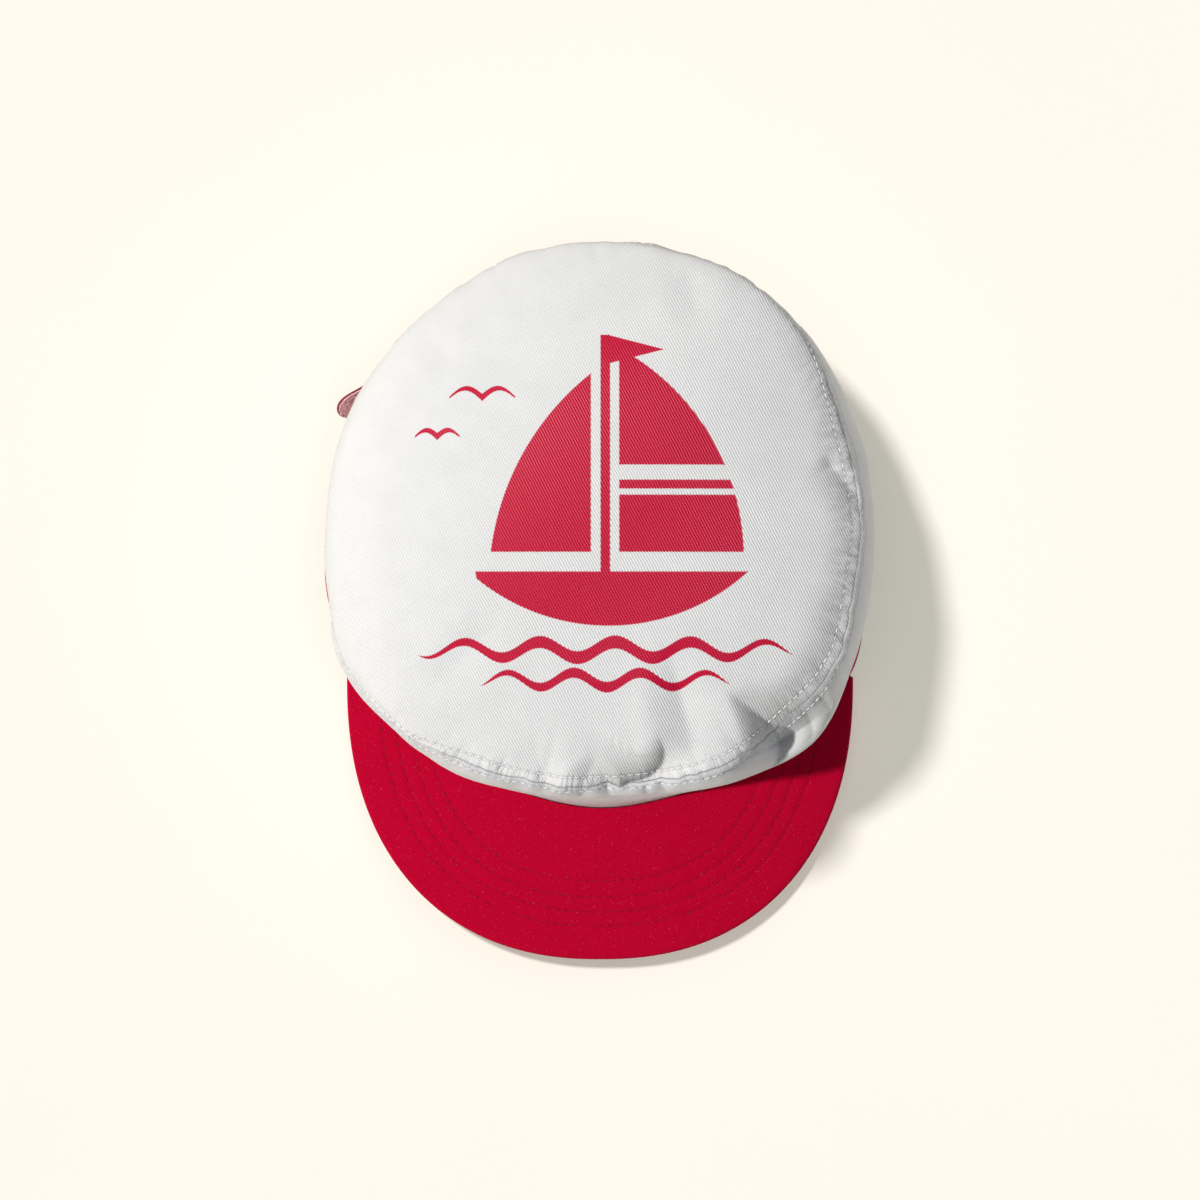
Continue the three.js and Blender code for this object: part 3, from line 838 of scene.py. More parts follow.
def seam_shade(n, base, line, below=0.0, behind=1.0):
    """Paints shade on the cloth: in the seam's groove, along the stitch row beside it and in the
    folds, and a mottled painted shade by the edge at +X, the side away from the key light.

    below is how dark the painted shade on the cloth close to the seam gets, and behind the share
    of both these painted shades that is left from the peak's ears backwards."""
    far = seam_distance(n)
    uneven = n.ranged(n.noise(n.seam_place(360.0, 150.0), 1.0, 3.0, 0.6), 0.36, 0.62, 0.35, 1.0)
    x, y, _ = n.split(n.object_place())
    side = n.ranged(x, 0.02, 0.085, 0.0, 0.58)
    share = n.ranged(y, -0.045, -0.02, 1.0, behind)
    # Painted shade, mottled, by the seam at +X, away from the key light
    edge = n.times(side, n.ranged(far, 3.0, 15.0, 1.0, 0.0, "SMOOTHSTEP"))
    base = n.mix(n.times(uneven, n.times(edge, share)), base, EDGE_SHADE)
    # Painted shade on the cloth just below the seam
    under = n.times(share, n.ranged(far, 2.0, 9.0, below, 0.0, "SMOOTHSTEP"))
    base = n.mix(under, base, UNDER_SHADE)
    # Painted shade along the seam's groove and the stitch row
    row = n.math("ABSOLUTE", n.less(far, SEAM_TO_ROW))
    lines = n.plus(
        n.ranged(row, 0.2, 0.9, 0.22, 0.0, "SMOOTHSTEP"),
        n.ranged(far, 0.10, 0.75, line, 0.0, "SMOOTHSTEP"))
    base = n.mix(lines, base, SEAM_SHADE)
    # Painted shade of the folds, from the mesh's crease attribute
    crease = n.add("ShaderNodeAttribute", attribute_name="crease").outputs["Fac"]
    return n.mix(crease, base, FOLD_SHADE)


def twill_cloth(name, colour, groove, pitch, angle, on_uv, linty=False, quiet=0.0):
    """Plain twill in one colour, with painted shade in its grooves and a faint unevenness.

    quiet is how much of the weave shows on sewn cloth, and 0 is for cloth away from a seam."""
    n = Nodes(name)
    place = n.cloth_place() if on_uv else n.object_place()
    height = twill(n, place, pitch, angle)
    if quiet:  # near the seam the sewn edge is pressed, and the weave shows less
        press = n.ranged(seam_distance(n), 3.6, 6.0, 0.6, 1.0)
        # The weave's relief and its painted groove shade fade towards the back left, the lit side
        x, y, _ = n.split(n.object_place())
        lit_side_fade = n.ranged(n.less(x, y), -0.142, 0.052, 0.12 * quiet, 1.5 * quiet)
        height = n.plus(n.times(n.less(height, 0.5), n.least(press, lit_side_fade)), 0.5)
    # Painted shade: the grooves take the darker groove colour
    base = n.mix(height, linear(groove), linear(colour))
    tone = n.noise(n.object_place(), 90.0, 3.0, 0.6)
    shade = n.ranged(tone, 0.3, 0.7, 1 - UNEVEN_TONE, 1 + UNEVEN_TONE)
    base = n.mix(1.0, base, n.grey(shade), "MULTIPLY")
    if linty:
        speck = n.ranged(n.noise(n.object_place(), 1900.0, 1.0), 0.70, 0.78)
        base = n.mix(n.times(speck, 0.5), base, linear(LINT))
    if quiet:
        # Painted shade on the tiny creases by the seam
        base = n.mix(n.ranged(seam_ticks(n), 0.0, 0.22, 0.0, 0.18), base, TICK_SHADE)
    return n, base, height


def nap(n, height, distance, fuzz=FUZZ, sewn=False):
    """The cloth's relief: its weave, a soft nap and, on sewn cloth, the creases by the seam."""
    high = n.plus(height, n.times(n.noise(n.object_place(), 2600.0, 2.0, 0.7), fuzz))
    if sewn:
        high = n.plus(high, n.times(seam_ticks(n), TICK_HEIGHT))
    return n.bump(high, distance)


def red_cloth(name, colours, sizes, angle, on_uv):
    # The red twill's grooves get painted shade, a darker red
    n, base, height = twill_cloth(
        name, colours.red, colours.red_groove_shade, sizes.red_pitch, angle, on_uv, linty=True)
    return n.surface(base, 0.85, nap(n, height, 0.00019), specular=0.1, tint=RED_TINT)


def thread_material(name, colour):
    n = Nodes(name)
    place = n.object_place()
    strand = n.noise(place, 3000.0, 2.0)
    base = n.mix(n.ranged(strand, 0.3, 0.7), linear([c * 0.75 for c in colour]), linear(colour))
    return n.surface(base, 0.7, n.bump(strand, 0.0001), specular=0.15)


# The printed picture: a sailing boat, two gulls and two waves, drawn with distances in mm


def printed_mask(n, rib):
    """1 on the picture's ink and 0 off it. Each shape is a distance, below 0 inside it."""
    x, y, _ = n.split(n.object_place())
    u = n.less(n.times(x, 1 / MM), PRINT_AT[0])
    v = n.less(n.times(y, 1 / MM), PRINT_AT[1])

    def half(a, b, c):
        """Distance past the line a*u + b*v = c."""
        return n.less(n.plus(n.times(u, a), n.times(v, b)), c)

    def disc(cx, cy, r):
        du, dv = n.less(u, cx), n.less(v, cy)
        far = n.math("SQRT", n.plus(n.times(du, du), n.times(dv, dv)))
        return n.less(far, r)

    def both(*shapes):
        return functools.reduce(n.most, shapes)

    def any_of(*shapes):
        return functools.reduce(n.least, shapes)

    def stripe(centre_v, swing, wave, shift, reach, thick):
        """A wavy stripe that thins out to its ends."""
        swung = n.times(n.math("SINE", n.times(n.plus(u, shift), 2 * math.pi / wave)), swing)
        off = n.math("ABSOLUTE", n.less(n.less(v, centre_v), swung))
        end = n.math("ABSOLUTE", n.times(u, 1.0 / reach))
        left = n.math("SQRT", n.most(n.less(1.0, n.times(end, end)), 0.0))
        return n.less(off, n.less(n.times(left, thick), 0.4))

    def gull(cx, cy, size):
        du = n.math("ABSOLUTE", n.less(u, cx))
        arch = n.times(n.math("SINE", n.times(n.least(du, size), math.pi / size)), 0.28 * size)
        off = n.math("ABSOLUTE", n.less(n.less(v, cy), arch))
        left = n.most(n.less(1.0, n.times(du, 1.0 / size)), 0.0)
        return both(n.less(off, n.plus(n.times(left, 0.9), 0.35)), n.less(du, size))

    hull = both(disc(1.0, 30.0, 69.0), half(0, 1, -21.0), half(-1, -0.25, 48.5))
    mast = both(half(1, 0, 1.6), half(-1, 0, 1.6), half(0, 1, 58.0), half(0, -1, 22.0))
    main = both(disc(-34.0, -16.5, 80.0), half(-1, 0, -4.6), half(0, -1, 14.5))
    jib = both(disc(51.3, -25.4, 90.0), half(1, 0, -4.8), half(0, -1, 14.5))
    band = both(half(0, 1, 14.5), half(0, -1, -9.5))
    seam = both(half(0, 1, 6.5), half(0, -1, -4.5))
    sail = both(main, n.times(any_of(band, seam), -1.0))
    pennant = both(half(-1, 0, -1.0), half(0.26, 1.0, 58.2), half(0.26, -1.0, -48.0))
    waves = any_of(
        stripe(-47.0, 2.6, 25.0, 3.0, 63.0, 2.6),
        stripe(-57.0, 2.4, 22.0, -6.0, 42.0, 2.2),
    )
    gulls = any_of(gull(-41.0, 37.0, 11.0), gull(-56.0, 24.0, 7.5))
    shape = any_of(hull, mast, sail, jib, pennant, waves, gulls)
    frayed = n.plus(shape, n.times(n.less(rib, 0.5), -0.35))
    return n.ranged(frayed, -0.12, 0.12, 1.0, 0.0)


# Properties


def colour_property(name, description, default):
    return bpy.props.FloatVectorProperty(
        name=name, description=description, subtype="COLOR", size=3, min=0.0, max=1.0,
        default=default)


def length_property(name, description, default):
    return bpy.props.FloatProperty(
        name=name, description=description, default=default, unit="LENGTH", min=0.0, precision=5)


def strength_property(name, description, default):
    return bpy.props.FloatProperty(name=name, description=description, default=default, min=0.0)


class CapColours(bpy.types.PropertyGroup):
    """Colours of the cap's cloth, thread and ink."""

    white: colour_property("White twill", "Ribs of the crown's twill", (0.885, 0.88, 0.87))
    # The three groove colours are painted shade: darker colours for the twill's grooves than for its
    # ribs
    white_groove_shade: colour_property("White grooves", "Grooves of the crown's twill", (0.63, 0.625, 0.615))
    red: colour_property("Red twill", "Ribs of the peak's and band's twill", (0.53, 0.002, 0.027))
    red_groove_shade: colour_property("Red grooves", "Grooves of the red twill", (0.42, 0.001, 0.022))
    ink: colour_property("Ink", "Printed picture", (0.60, 0.005, 0.045))
    ink_groove_shade: colour_property("Ink in grooves", "Ink sunk in the grooves", (0.48, 0.004, 0.034))
    red_thread: colour_property("Red thread", "Stitching of the peak and bands", (0.30, 0.001, 0.014))
    white_thread: colour_property("White thread", "Stitching of the crown", (0.95, 0.95, 0.94))
    hook: colour_property("Hook tape", "Bristly face of the strap's tail", (0.92, 0.47, 0.48))


class CapSizes(bpy.types.PropertyGroup):
    """Sizes of the weave and the stitching."""

    twill_pitch: length_property("Twill pitch", "From rib to rib on the crown", 0.00086)
    red_pitch: length_property("Red twill pitch", "From rib to rib on the peak", 0.0008)
    twill_angle: bpy.props.FloatProperty(
        name="Twill angle", description="Across the crown's ribs, from the X axis",
        default=math.radians(27.0), subtype="ANGLE")
    stitch_length: length_property("Stitch", "Length of one stitch of the crown", 0.0021)
    thread: length_property("Thread", "Radius of the thread", 0.00023)


class CapStage(bpy.types.PropertyGroup):
    """Camera and light."""

    camera_height: length_property("Camera height", "Above the floor", 1.6)
    field: length_property("Field", "Width of the floor that the camera sees", 0.42211)
    key: strength_property("Key", "Strength of the key light", 3.08)
    back: strength_property("Back fill", "Strength of the soft light from the back", 0.40)
    side: strength_property("Side fill", "Strength of the soft light from +X", 0.42)
    floor: colour_property("Floor", "Colour of the floor", (0.95, 0.90, 0.80))


# Operators


class CAP_OT_crown(bpy.types.Operator):
    """Crown: printed top and wall, folded and gathered at their seam"""

    bl_idname = "cap.crown"
    bl_label = "Crown"

    def execute(self, context):
        colours, sizes = context.scene.cap_colours, context.scene.cap_sizes
        made = crown()
        row = made["seam_row"]
        # dark is the painted shade of the folds, which both cloth meshes keep
        ring, off, dark = (wrapped(made[key]) for key in ("points", "off", "dark"))
        uv = round_uv(np.append(made["angle"], 360.0), -off)
        top = shaped_grid("crown_top_twill", ring[:row + 1], uv[:row + 1], dark[:row + 1])
        thicken(top, CLOTH)
        finish_piece(top, self.printed_cloth(colours, sizes), ["crown_top"])
        side = shaped_grid("crown_wall_twill", ring[row:], uv[row:], dark[row:])
        self.open_for_bands(side)
        thicken(side, CLOTH)
        finish_piece(side, self.wall_cloth(colours, sizes), ["crown_side"])
        return {"FINISHED"}

    def printed_cloth(self, colours, sizes):
        """The top's twill, with ink that is thicker on the ribs and fills the grooves. Grooves of cloth
        and ink, the seam and the folds carry painted shade.
        """
        n, base, rib = twill_cloth(
            "printed_white_twill", colours.white, colours.white_groove_shade,
            sizes.twill_pitch, math.degrees(sizes.twill_angle), False, quiet=1.0)
        mask = printed_mask(n, rib)
        # Painted shade: the ink in the grooves is a darker red
        ink = n.mix(rib, linear(colours.ink_groove_shade), linear(colours.ink))
        base = seam_shade(n, n.mix(mask, base, ink), 0.2)
        rough = n.ranged(mask, 0, 1, 0.95, 0.34)
        normal = nap(n, rib, 0.00022, n.ranged(mask, 0, 1, FUZZ, FLAT_FUZZ), sewn=True)
        return n.surface(base, rough, normal, specular=0.2)

    def wall_cloth(self, colours, sizes):
        """The wall's twill, whose ribs follow the cloth round the cap, with painted shade in its
        grooves, by its seam and in its folds.
        """
        n, base, rib = twill_cloth(
            "white_twill", colours.white, colours.white_groove_shade,
            sizes.twill_pitch, SIDE_TWILL, True, quiet=0.85)
        base = seam_shade(n, base, 0.35, 0.3, 0.15)
        return n.surface(base, 0.92, nap(n, rib, 0.00017, sewn=True))

    def open_for_bands(self, side):
        """Takes away the wall's lower part round the sides and back, where the bands are."""
        top, front = (BAND_TOP + SPACE) * MM, (EAR_Y - SPACE) * MM
        pick(side)
        bpy.ops.object.mode_set(mode="EDIT")
        bpy.ops.mesh.select_all(action="SELECT")
        bpy.ops.mesh.bisect(plane_co=(0, 0, top), plane_no=(0, 0, 1))
        bpy.ops.mesh.select_all(action="SELECT")
        bpy.ops.mesh.bisect(plane_co=(0, front, 0), plane_no=(0, 1, 0))
        bpy.ops.object.mode_set(mode="OBJECT")
        for face in side.data.polygons:
            face.select = face.center.z < top and face.center.y > front
        bpy.ops.object.mode_set(mode="EDIT")
        bpy.ops.mesh.select_mode(type="FACE")
        bpy.ops.mesh.delete(type="FACE")
        bpy.ops.mesh.select_mode(type="VERT")
        bpy.ops.object.mode_set(mode="OBJECT")


def crown_path(off_mm):
    """Points and normals of the crown along a line off_mm from the seam."""
    made = crown()
    off = made["off"]
    points, normals = [], []
    for j in range(off.shape[1]):
        column = off[:, j]
        points.append([np.interp(off_mm, column, made["points"][:, j, n]) for n in range(3)])
        normals.append([np.interp(off_mm, column, made["normals"][:, j, n]) for n in range(3)])
    points.append(points[0])
    normals.append(normals[0])
    return np.array(points), np.array(normals)


class CAP_OT_crown_stitching(bpy.types.Operator):
    """Crown stitching: a row of stitches on each side of the seam"""

    bl_idname = "cap.crown_stitching"
    bl_label = "Crown stitching"

    def execute(self, context):
        colours, sizes = context.scene.cap_colours, context.scene.cap_sizes
        thread = thread_material("white_thread", colours.white_thread)
        rows = []
        for off in (-SEAM_TO_ROW, SEAM_TO_ROW):
            row = stitch_row(
                *crown_path(off), length=sizes.stitch_length / MM, gap=0.6,
                radius=sizes.thread / MM, sink=0.0)
            for stitch in row:
                deeper = smooth(abs(stitch[0][0]), *SEAM_STITCH_SIDES)
                rows.append((*stitch[:4], SEAM_STITCH_SINK[0] + SEAM_STITCH_SINK[1] * deeper))
        stitches("crown_stitching", rows, thread)
        return {"FINISHED"}


def peak_outline(count=720):
    """The peak's edge from the ear at -X round the front to the one at +X, with its sides."""
    a = np.radians(np.linspace(180.0, 360.0, count))
    power = 2 / PEAK_POWER
    x = PEAK_HALF_WIDTH * np.sign(np.cos(a)) * np.abs(np.cos(a)) ** power
    y = -PEAK_LENGTH * np.abs(np.sin(a)) ** power
    x = np.concatenate([[-PEAK_HALF_WIDTH], x, [PEAK_HALF_WIDTH]]) + CENTRE[0]
    y = np.concatenate([[PEAK_SIDES], y, [PEAK_SIDES]]) + PEAK_WIDEST_Y
    return np.stack([x, y], axis=1)


def peak_reach(angle):
    """How far the peak's edge is from the crown's centre at each angle."""
    line = peak_outline()
    line = np.concatenate([
        np.linspace(line[0], line[1], 60, endpoint=False), line[1:-1],
        np.linspace(line[-2], line[-1], 60)])
    at, far = around(line[:, 0], line[:, 1])
    order = np.argsort(at)
    return np.interp(angle, at[order], far[order])


def edge_distance(x, y):
    """How far places on the peak are from its edge."""
    line = peak_outline(500)
    far = np.full(x.shape, 1e9)
    for a, b in zip(line[:-1], line[1:]):
        d = b - a
        t = np.clip(((x - a[0]) * d[0] + (y - a[1]) * d[1]) / (d @ d + 1e-12), 0, 1)
        far = np.minimum(far, np.hypot(x - a[0] - t * d[0], y - a[1] - t * d[1]))
    return far


def peak_surface(x, y):
    """Height of the peak's upper cloth, with its sewn channels and their small puckers."""
    far = edge_distance(x, y)
    z = peak_top(x, y)
    turn = np.arctan2(y - PEAK_WIDEST_Y, x)
    rng = np.random.default_rng(SEED + 9)
    for row in PEAK_STITCH_ROWS:
        wave = sum(
            rng.uniform(0.02, 0.06) * np.sin(turn * rng.integers(60, 240) + rng.uniform(0, 6))
            for _ in range(5))
        z = z - (CHANNEL_DEPTH + wave) * bell(far - row, CHANNEL_WIDTH)
    return z + COVER_SWELL * smooth(far, 0.5, 2.5)


class CAP_OT_peak(bpy.types.Operator):
    """Peak: covered stiff plate with a rolled edge and four sewn channels"""

    bl_idname = "cap.peak"
    bl_label = "Peak"

    def execute(self, context):
        colours, sizes = context.scene.cap_colours, context.scene.cap_sizes
        grid = self.skin()
        piece = shaped_grid("peak_cover", grid, grid[:, :, :2])
        close_ends(piece)
        cloth = red_cloth("red_twill", colours, sizes, math.degrees(sizes.twill_angle), False)
        finish_piece(piece, cloth, ["peak"])
        self.sew(colours, sizes)
        return {"FINISHED"}

    def skin(self):
        """Grid of the whole peak: its upper cloth, its rounded edge and its underside."""
        probe = np.linspace(200.0, 345.0, 2901)
        space = peak_reach(probe) - outline("rim", probe) - PEAK_CLEAR
        shown = probe[space > EAR_SPACE]
        angle = np.linspace(shown.min(), shown.max(), PEAK_COLUMNS)
        half = PEAK_THICKNESS / 2
        inner = outline("rim", angle) + PEAK_CLEAR
        outer = peak_reach(angle) - half
        share = np.linspace(0, 1, PEAK_ROWS)[:, None]
        x, y = plan(angle, inner + np.maximum(outer - inner, LEAST_REACH) * share)
        top = np.stack([x, y, peak_surface(x, y)], axis=2)
        turn = np.radians(np.linspace(90, -90, 11))[1:-1, None]
        edge_x, edge_y = plan(angle, np.maximum(outer, inner + LEAST_REACH) + half * np.cos(turn))
        edge_z = peak_top(x[-1], y[-1]) - half + half * np.sin(turn)
        edge = np.stack([edge_x, edge_y, edge_z], axis=2)
        x, y = x[::-UNDER_STEP], y[::-UNDER_STEP]
        under = np.stack([x, y, peak_top(x, y) - PEAK_THICKNESS], axis=2)
        return np.concatenate([top, edge, under, top[:1]], axis=0)

    def sew(self, colours, sizes):
        """Four rows of stitches, each at one distance from the edge."""
        thread = thread_material("red_thread", colours.red_thread)
        rows = []
        line = peak_outline(900)[1:-1]
        step = np.gradient(line, axis=0)
        inward = np.stack([-step[:, 1], step[:, 0]], axis=1)
        inward /= np.linalg.norm(inward, axis=1, keepdims=True)
        for far in PEAK_STITCH_ROWS:
            x, y = (line + inward * far).T
            angle, reach = around(x, y)
            shown = reach > outline("rim", angle) + PEAK_STITCH_START
            x, y = x[shown], y[shown]
            tilt = np.column_stack([
                -(peak_top(x + 1, y) - peak_top(x - 1, y)) / 2,
                -(peak_top(x, y + 1) - peak_top(x, y - 1)) / 2,
                np.ones(len(x)),
            ])
            tilt /= np.linalg.norm(tilt, axis=1, keepdims=True)
            points = np.column_stack([x, y, peak_surface(x, y)])
            rows += stitch_row(
                points, tilt, length=2.7, gap=0.5, radius=sizes.thread / MM, sink=0.02)
        stitches("peak_stitching", rows, thread)


def band_surface(angle, height):
    """The outer face of the band at an angle and height, from the crown's profile."""
    _, y = plan(angle, outline("edge", angle))
    share = 1 - height / seam_height(y)
    belly, rim = outline("belly", angle), outline("rim", angle)
    t = np.clip((share - BELLY_AT) / (1 - BELLY_AT), 0, 1)
    return belly - (belly - rim) * t ** BELLY_FALL


def tube_rows(angle, lower, upper, face, thickness, bulge, rows=14):
    """A closed strap-like section: outer face, rounded edges and inner face, as grid rows."""
    turn = np.linspace(0, 2 * math.pi, 4 * rows + 1)[:, None]
    side = np.sin(turn)
    upright, flat = SECTION_POWERS
    height = (lower + upper) / 2 + (upper - lower) / 2 * np.sign(side) * np.abs(side) ** upright
    depth = thickness / 2 * np.sign(np.cos(turn)) * np.abs(np.cos(turn)) ** flat
    swell = np.where(np.cos(turn) > 0, bulge * (1 - side ** 2), 0.0)
    radius = face(angle, height) - thickness / 2 + depth + swell
    return np.stack([*plan(angle, radius), height + 0 * radius], axis=2)


class CAP_OT_bands(bpy.types.Operator):
    """Bands: red twill bands round the two sides, open at the back"""

    bl_idname = "cap.bands"
    bl_label = "Bands"

    def execute(self, context):
        colours, sizes = context.scene.cap_colours, context.scene.cap_sizes
        cloth = red_cloth("band_twill", colours, sizes, SIDE_TWILL, True)
        thread = thread_material("band_thread", colours.red_thread)
        half_split = math.degrees(BACK_SPLIT / 2 / SPLIT_RADIUS)
        rows = []
        for side, node in ((1, "band_right"), (-1, "band_left")):
            ear = self.ear_angle(side)
            back = 90.0 - side * half_split
            low, high = (ear, back) if side > 0 else (back, ear)
            angle = np.linspace(low, high, 181)
            bulge = outline("band", angle)
            grid = tube_rows(angle, 0.0, BAND_TOP, band_surface, BAND_THICKNESS, bulge)
            piece = shaped_grid(node + "_twill", grid, round_uv(angle, grid[:, :, 2]))
            close_ends(piece)
            finish_piece(piece, cloth, [node])
            piece.visible_diffuse = False  # so that no red light falls on the pale floor
            for height in (BAND_HEM, BAND_TOP - BAND_HEM):
                swell = bulge * (1 - (2 * height / BAND_TOP - 1) ** 2)
                path = ring_path(angle, height, band_surface(angle, height) + swell)
                rows += stitch_row(
                    *path, length=2.6, gap=0.7, radius=sizes.thread / MM, sink=0.14)
        stitches("band_stitching", rows, thread)
        return {"FINISHED"}

    def ear_angle(self, side):
        """Where a band's end meets the white front wall, in degrees."""
        probe = np.linspace(-50, -10, 801) if side > 0 else np.linspace(190, 230, 801)
        _, y = plan(probe, outline("rim", probe))
        return float(probe[np.argmin(np.abs(y - (EAR_Y + SPACE)))])


def strap_face(angle, height, out):
    """Radius on the strap at an angle and height, out mm from the band."""
    peeled = smooth(angle, STRAP_PEEL_FROM, STRAP_TO) * STRAP_PEEL
    up = (height - STRAP_FOOT) / STRAP_HEIGHT
    lean = STRAP_LEAN + (1 - STRAP_LEAN) * up
    return band_surface(angle, height) + STRAP_OFF + out + peeled * lean


class CAP_OT_strap(bpy.types.Operator):
    """Strap: adjuster strap over the split at the back, with its tail standing off"""

    bl_idname = "cap.strap"
    bl_label = "Adjuster strap"

    def execute(self, context):
        colours, sizes = context.scene.cap_colours, context.scene.cap_sizes
        turned = np.sin(np.linspace(0, math.pi / 2, 16))
        angle = np.concatenate([
            np.linspace(STRAP_FROM, STRAP_TO - STRAP_TAIL, 120, endpoint=False),
            STRAP_TO - STRAP_TAIL * (1 - turned),
        ])
        grid = self.strip(angle, STRAP_THICKNESS, 0.0, 0.999, bulge=0.15, rows=10)
        piece = shaped_grid("adjuster_strap_cloth", grid, round_uv(angle, grid[:, :, 2]))
        close_ends(piece)
        finish_piece(piece, self.loop_cloth(), ["adjuster_strap"])
        self.hook_tape(colours)
        self.sew(colours, sizes)
        return {"FINISHED"}

    def strip(self, angle, out, margin, last, bulge, rows):
        """Grid of a strip along the strap, out mm from the band, with a round end.

        last is how much of the tail's round it takes up."""
        into = np.clip((angle - (STRAP_TO - STRAP_TAIL)) / STRAP_TAIL, 0, last)
        half = (STRAP_HEIGHT / 2 - margin) * np.sqrt(1 - into ** 2)
        return tube_rows(
            angle, STRAP_MIDDLE - half, STRAP_MIDDLE + half,
            lambda a, height: strap_face(a, height, out), LOOP_THICKNESS, bulge, rows)

    def loop_cloth(self):
        """Brushed loop cloth: a dense nap of tiny curls."""
        n = Nodes("strap_loop_cloth")
        curl = n.noise(n.object_place(), 1500.0, 3.0, 0.7)
        base = n.mix(n.ranged(curl, 0.35, 0.65), LOOP_DEEP, LOOP_CURLS)
        return n.surface(base, 0.95, n.bump(curl, 0.0006), sheen=0.4)

    def hook_tape(self, colours):
        """The pad of hooks on the inner face of the tail."""
        angle = np.linspace(HOOK_FROM, STRAP_TO - math.degrees(HOOK_MARGIN / STRAP_RADIUS), 60)
        out = STRAP_THICKNESS - LOOP_THICKNESS - HOOK_GAP
        grid = self.strip(angle, out, HOOK_MARGIN, 0.98, bulge=0.0, rows=8)
        piece = shaped_grid("hook_tape", grid, grid[:, :, :2])
        close_ends(piece)
        n = Nodes("hook_tape_face")
        bristle = n.noise(n.object_place(), 1300.0, 2.0, 0.8)
        dark = linear([c * 0.3 for c in colours.hook])
        base = n.mix(n.ranged(bristle, 0.38, 0.56), dark, linear(colours.hook))
        face = n.surface(base, 0.6, n.bump(bristle, 0.0006), specular=0.5)
        finish_piece(piece, face)

    def sew(self, colours, sizes):
        """A crossed box of stitches that holds the strap's fixed end to the band."""
        thread = thread_material("strap_thread", [0.4 * c for c in colours.red_thread])
        near, far = (STRAP_FROM + math.degrees(reach / ROUND_RADIUS) for reach in SEWN_BOX)
        low, high = STRAP_FOOT + SEWN_EDGE, STRAP_FOOT + STRAP_HEIGHT - SEWN_EDGE
        corners = [(near, low), (near, high), (far, high), (far, low), (near, low)]
        corners += [(far, high), (far, low), (near, high)]
        rows = []
        for first, last in zip(corners[:-1], corners[1:]):
            angle, height = np.linspace(first, last, 40).T
            path = ring_path(angle, height, strap_face(angle, height, STRAP_THICKNESS))
            rows += stitch_row(
                *path, length=2.2, gap=0.5, radius=1.25 * sizes.thread / MM, sink=-0.2)
        stitches("strap_stitching", rows, thread)


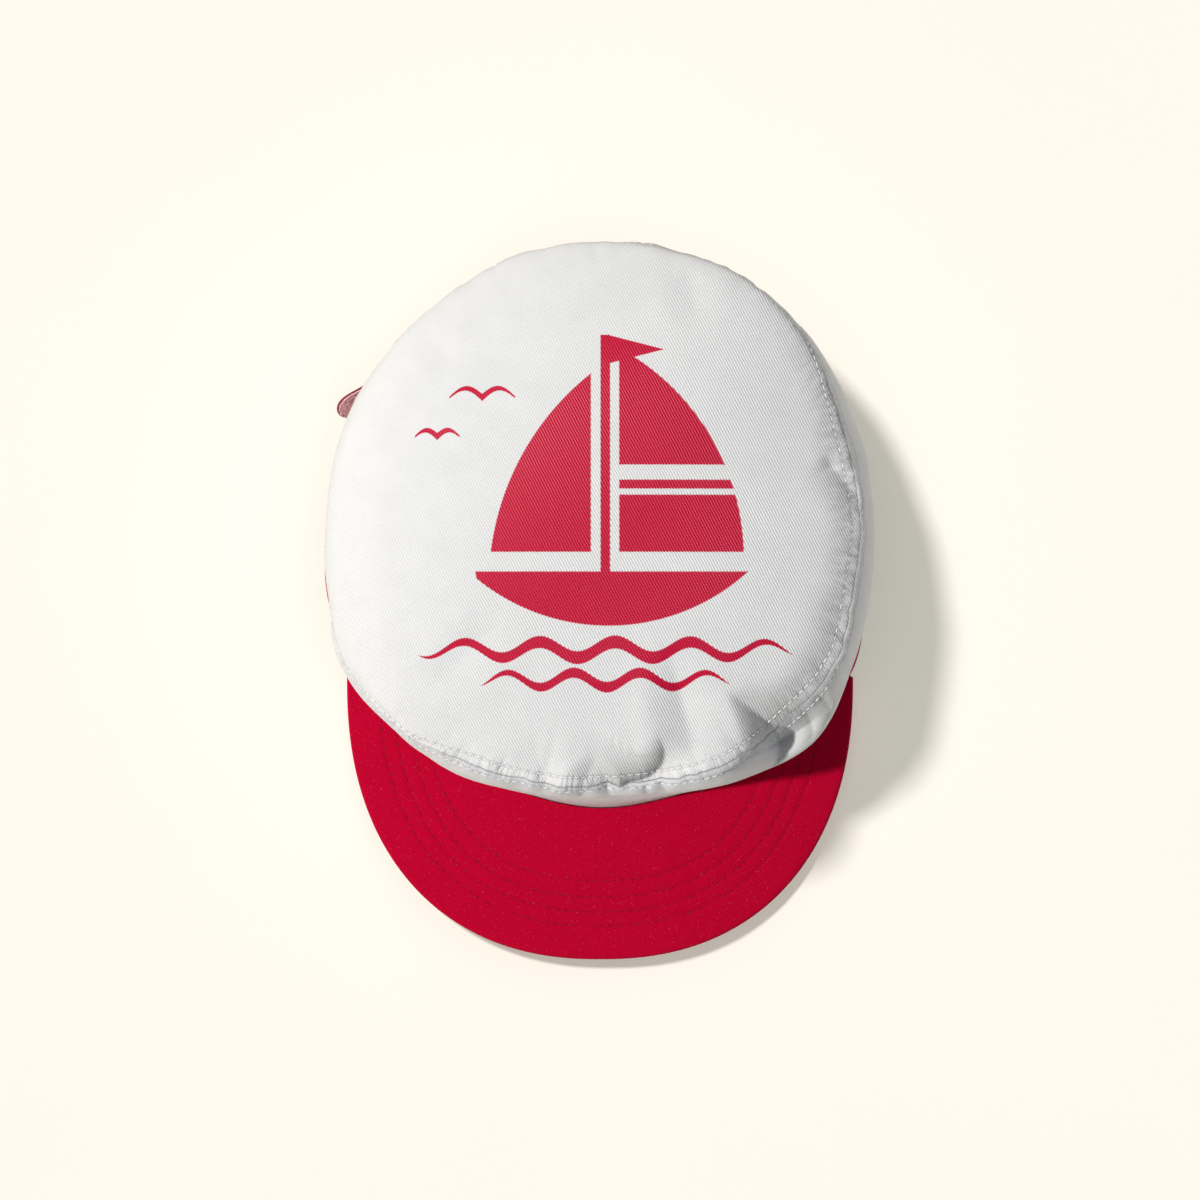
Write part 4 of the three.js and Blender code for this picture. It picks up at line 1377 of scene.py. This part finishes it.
class CAP_OT_stage(bpy.types.Operator):
    """Stage: floor, camera and lights"""

    bl_idname = "cap.stage"
    bl_label = "Stage"

    def execute(self, context):
        scene = context.scene
        stage = scene.cap_stage
        start()
        bpy.ops.mesh.primitive_plane_add(size=FLOOR_SIZE, location=(0, 0, FLOOR_Z))
        floor = context.object
        floor.name = "floor"
        n = Nodes("floor_paper")
        grain = n.noise(n.object_place(), 8.0, 2.0)
        tone = n.grey(n.ranged(grain, 0.3, 0.7, 0.995, 1.005))
        paper = n.mix(1.0, linear(stage.floor), tone, "MULTIPLY")
        floor.data.materials.append(n.surface(paper, 0.9, specular=0.0))

        start()
        bpy.ops.object.camera_add(location=(CENTRE[0] * MM, CAMERA_Y, stage.camera_height))
        camera = context.object
        camera.rotation_euler = (0, 0, 0)
        camera.data.sensor_width = SENSOR
        camera.data.lens = SENSOR * stage.camera_height / stage.field
        camera.data.clip_end = CAMERA_SEES
        scene.camera = camera

        self.light_cap_and_floor(floor, stage)
        scene.world = bpy.data.worlds.new("studio")
        scene.world.use_nodes = True
        background = scene.world.node_tree.nodes["Background"]
        background.inputs["Color"].default_value = (0.97, 0.97, 1.0, 1)
        background.inputs["Strength"].default_value = 0.12
        scene.view_settings.view_transform = "Standard"
        return {"FINISHED"}

    def sun(self, name, towards, strength, angle, colour=(1, 1, 1)):
        start()
        bpy.ops.object.light_add(type="SUN", location=(0, 0, 1))
        lamp = bpy.context.object
        lamp.name = name
        lamp.data.energy = strength
        lamp.data.angle = math.radians(angle)
        lamp.data.color = colour
        lamp.rotation_euler = Vector(towards).to_track_quat("-Z", "Y").to_euler()
        return lamp

    def link(self, name, obj, state, *lamps):
        """Makes the lamps reach all but one object, or that one alone."""
        group = bpy.data.collections.new(name)
        group.objects.link(obj)
        for lamp in lamps:
            lamp.light_linking.receiver_collection = group
        group.collection_objects[0].light_linking.link_state = state

    def light_cap_and_floor(self, floor, stage):
        """The cap's key light comes from -X, and the floor has its own pair of lights."""
        key = self.sun("key", (0.56, 0.035, -0.84), stage.key, 2.4, (1.0, 0.99, 0.977))
        back = self.sun("back_fill", (0.25, -0.65, -0.75), stage.back, 60.0)
        side = self.sun("side_fill", (-0.6, 0.1, -0.5), stage.side, 50.0, (0.72, 0.84, 1.0))
        drop = self.sun("floor_key", (0.385, -0.385, -0.84), 2.0, 7.0, (1.0, 0.97, 0.985))
        even = self.sun("floor_fill", (0, 0, -1), 1.34, 0.5, (0.965, 1.0, 0.985))
        self.link("all_but_floor", floor, "EXCLUDE", key, back, side)
        self.link("floor_alone", floor, "INCLUDE", drop, even)
        tape = bpy.data.objects.get("hook_tape")
        if tape:
            glow = self.sun("tape_fill", (-0.6, 0.3, -0.7), 1.7, 30.0)
            glow.data.use_shadow = False
            self.link("tape_alone", tape, "INCLUDE", glow)


OPERATORS = (
    CAP_OT_crown, CAP_OT_crown_stitching, CAP_OT_peak, CAP_OT_bands, CAP_OT_strap, CAP_OT_stage,
)


class CAP_PT_panel(bpy.types.Panel):
    """Lists the cap's pieces and their settings"""

    bl_label = "Painter cap"
    bl_idname = "CAP_PT_panel"
    bl_space_type = "VIEW_3D"
    bl_region_type = "UI"
    bl_category = "Cap"

    def draw(self, context):
        for operator in OPERATORS:
            self.layout.operator(operator.bl_idname)
        for group in ("cap_colours", "cap_sizes", "cap_stage"):
            settings = getattr(context.scene, group)
            box = self.layout.box()
            for key in settings.__annotations__:
                box.prop(settings, key)


CLASSES = (CapColours, CapSizes, CapStage, *OPERATORS, CAP_PT_panel)


def register():
    for cls in CLASSES:
        bpy.utils.register_class(cls)
    bpy.types.Scene.cap_colours = bpy.props.PointerProperty(type=CapColours)
    bpy.types.Scene.cap_sizes = bpy.props.PointerProperty(type=CapSizes)
    bpy.types.Scene.cap_stage = bpy.props.PointerProperty(type=CapStage)


def unregister():
    for group in ("cap_colours", "cap_sizes", "cap_stage"):
        delattr(bpy.types.Scene, group)
    for cls in reversed(CLASSES):
        bpy.utils.unregister_class(cls)


def main():
    register()
    bpy.ops.cap.crown()
    bpy.ops.cap.crown_stitching()
    bpy.ops.cap.peak()
    bpy.ops.cap.bands()
    bpy.ops.cap.strap()
    bpy.ops.cap.stage()
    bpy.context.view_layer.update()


if __name__ == "__main__":
    main()
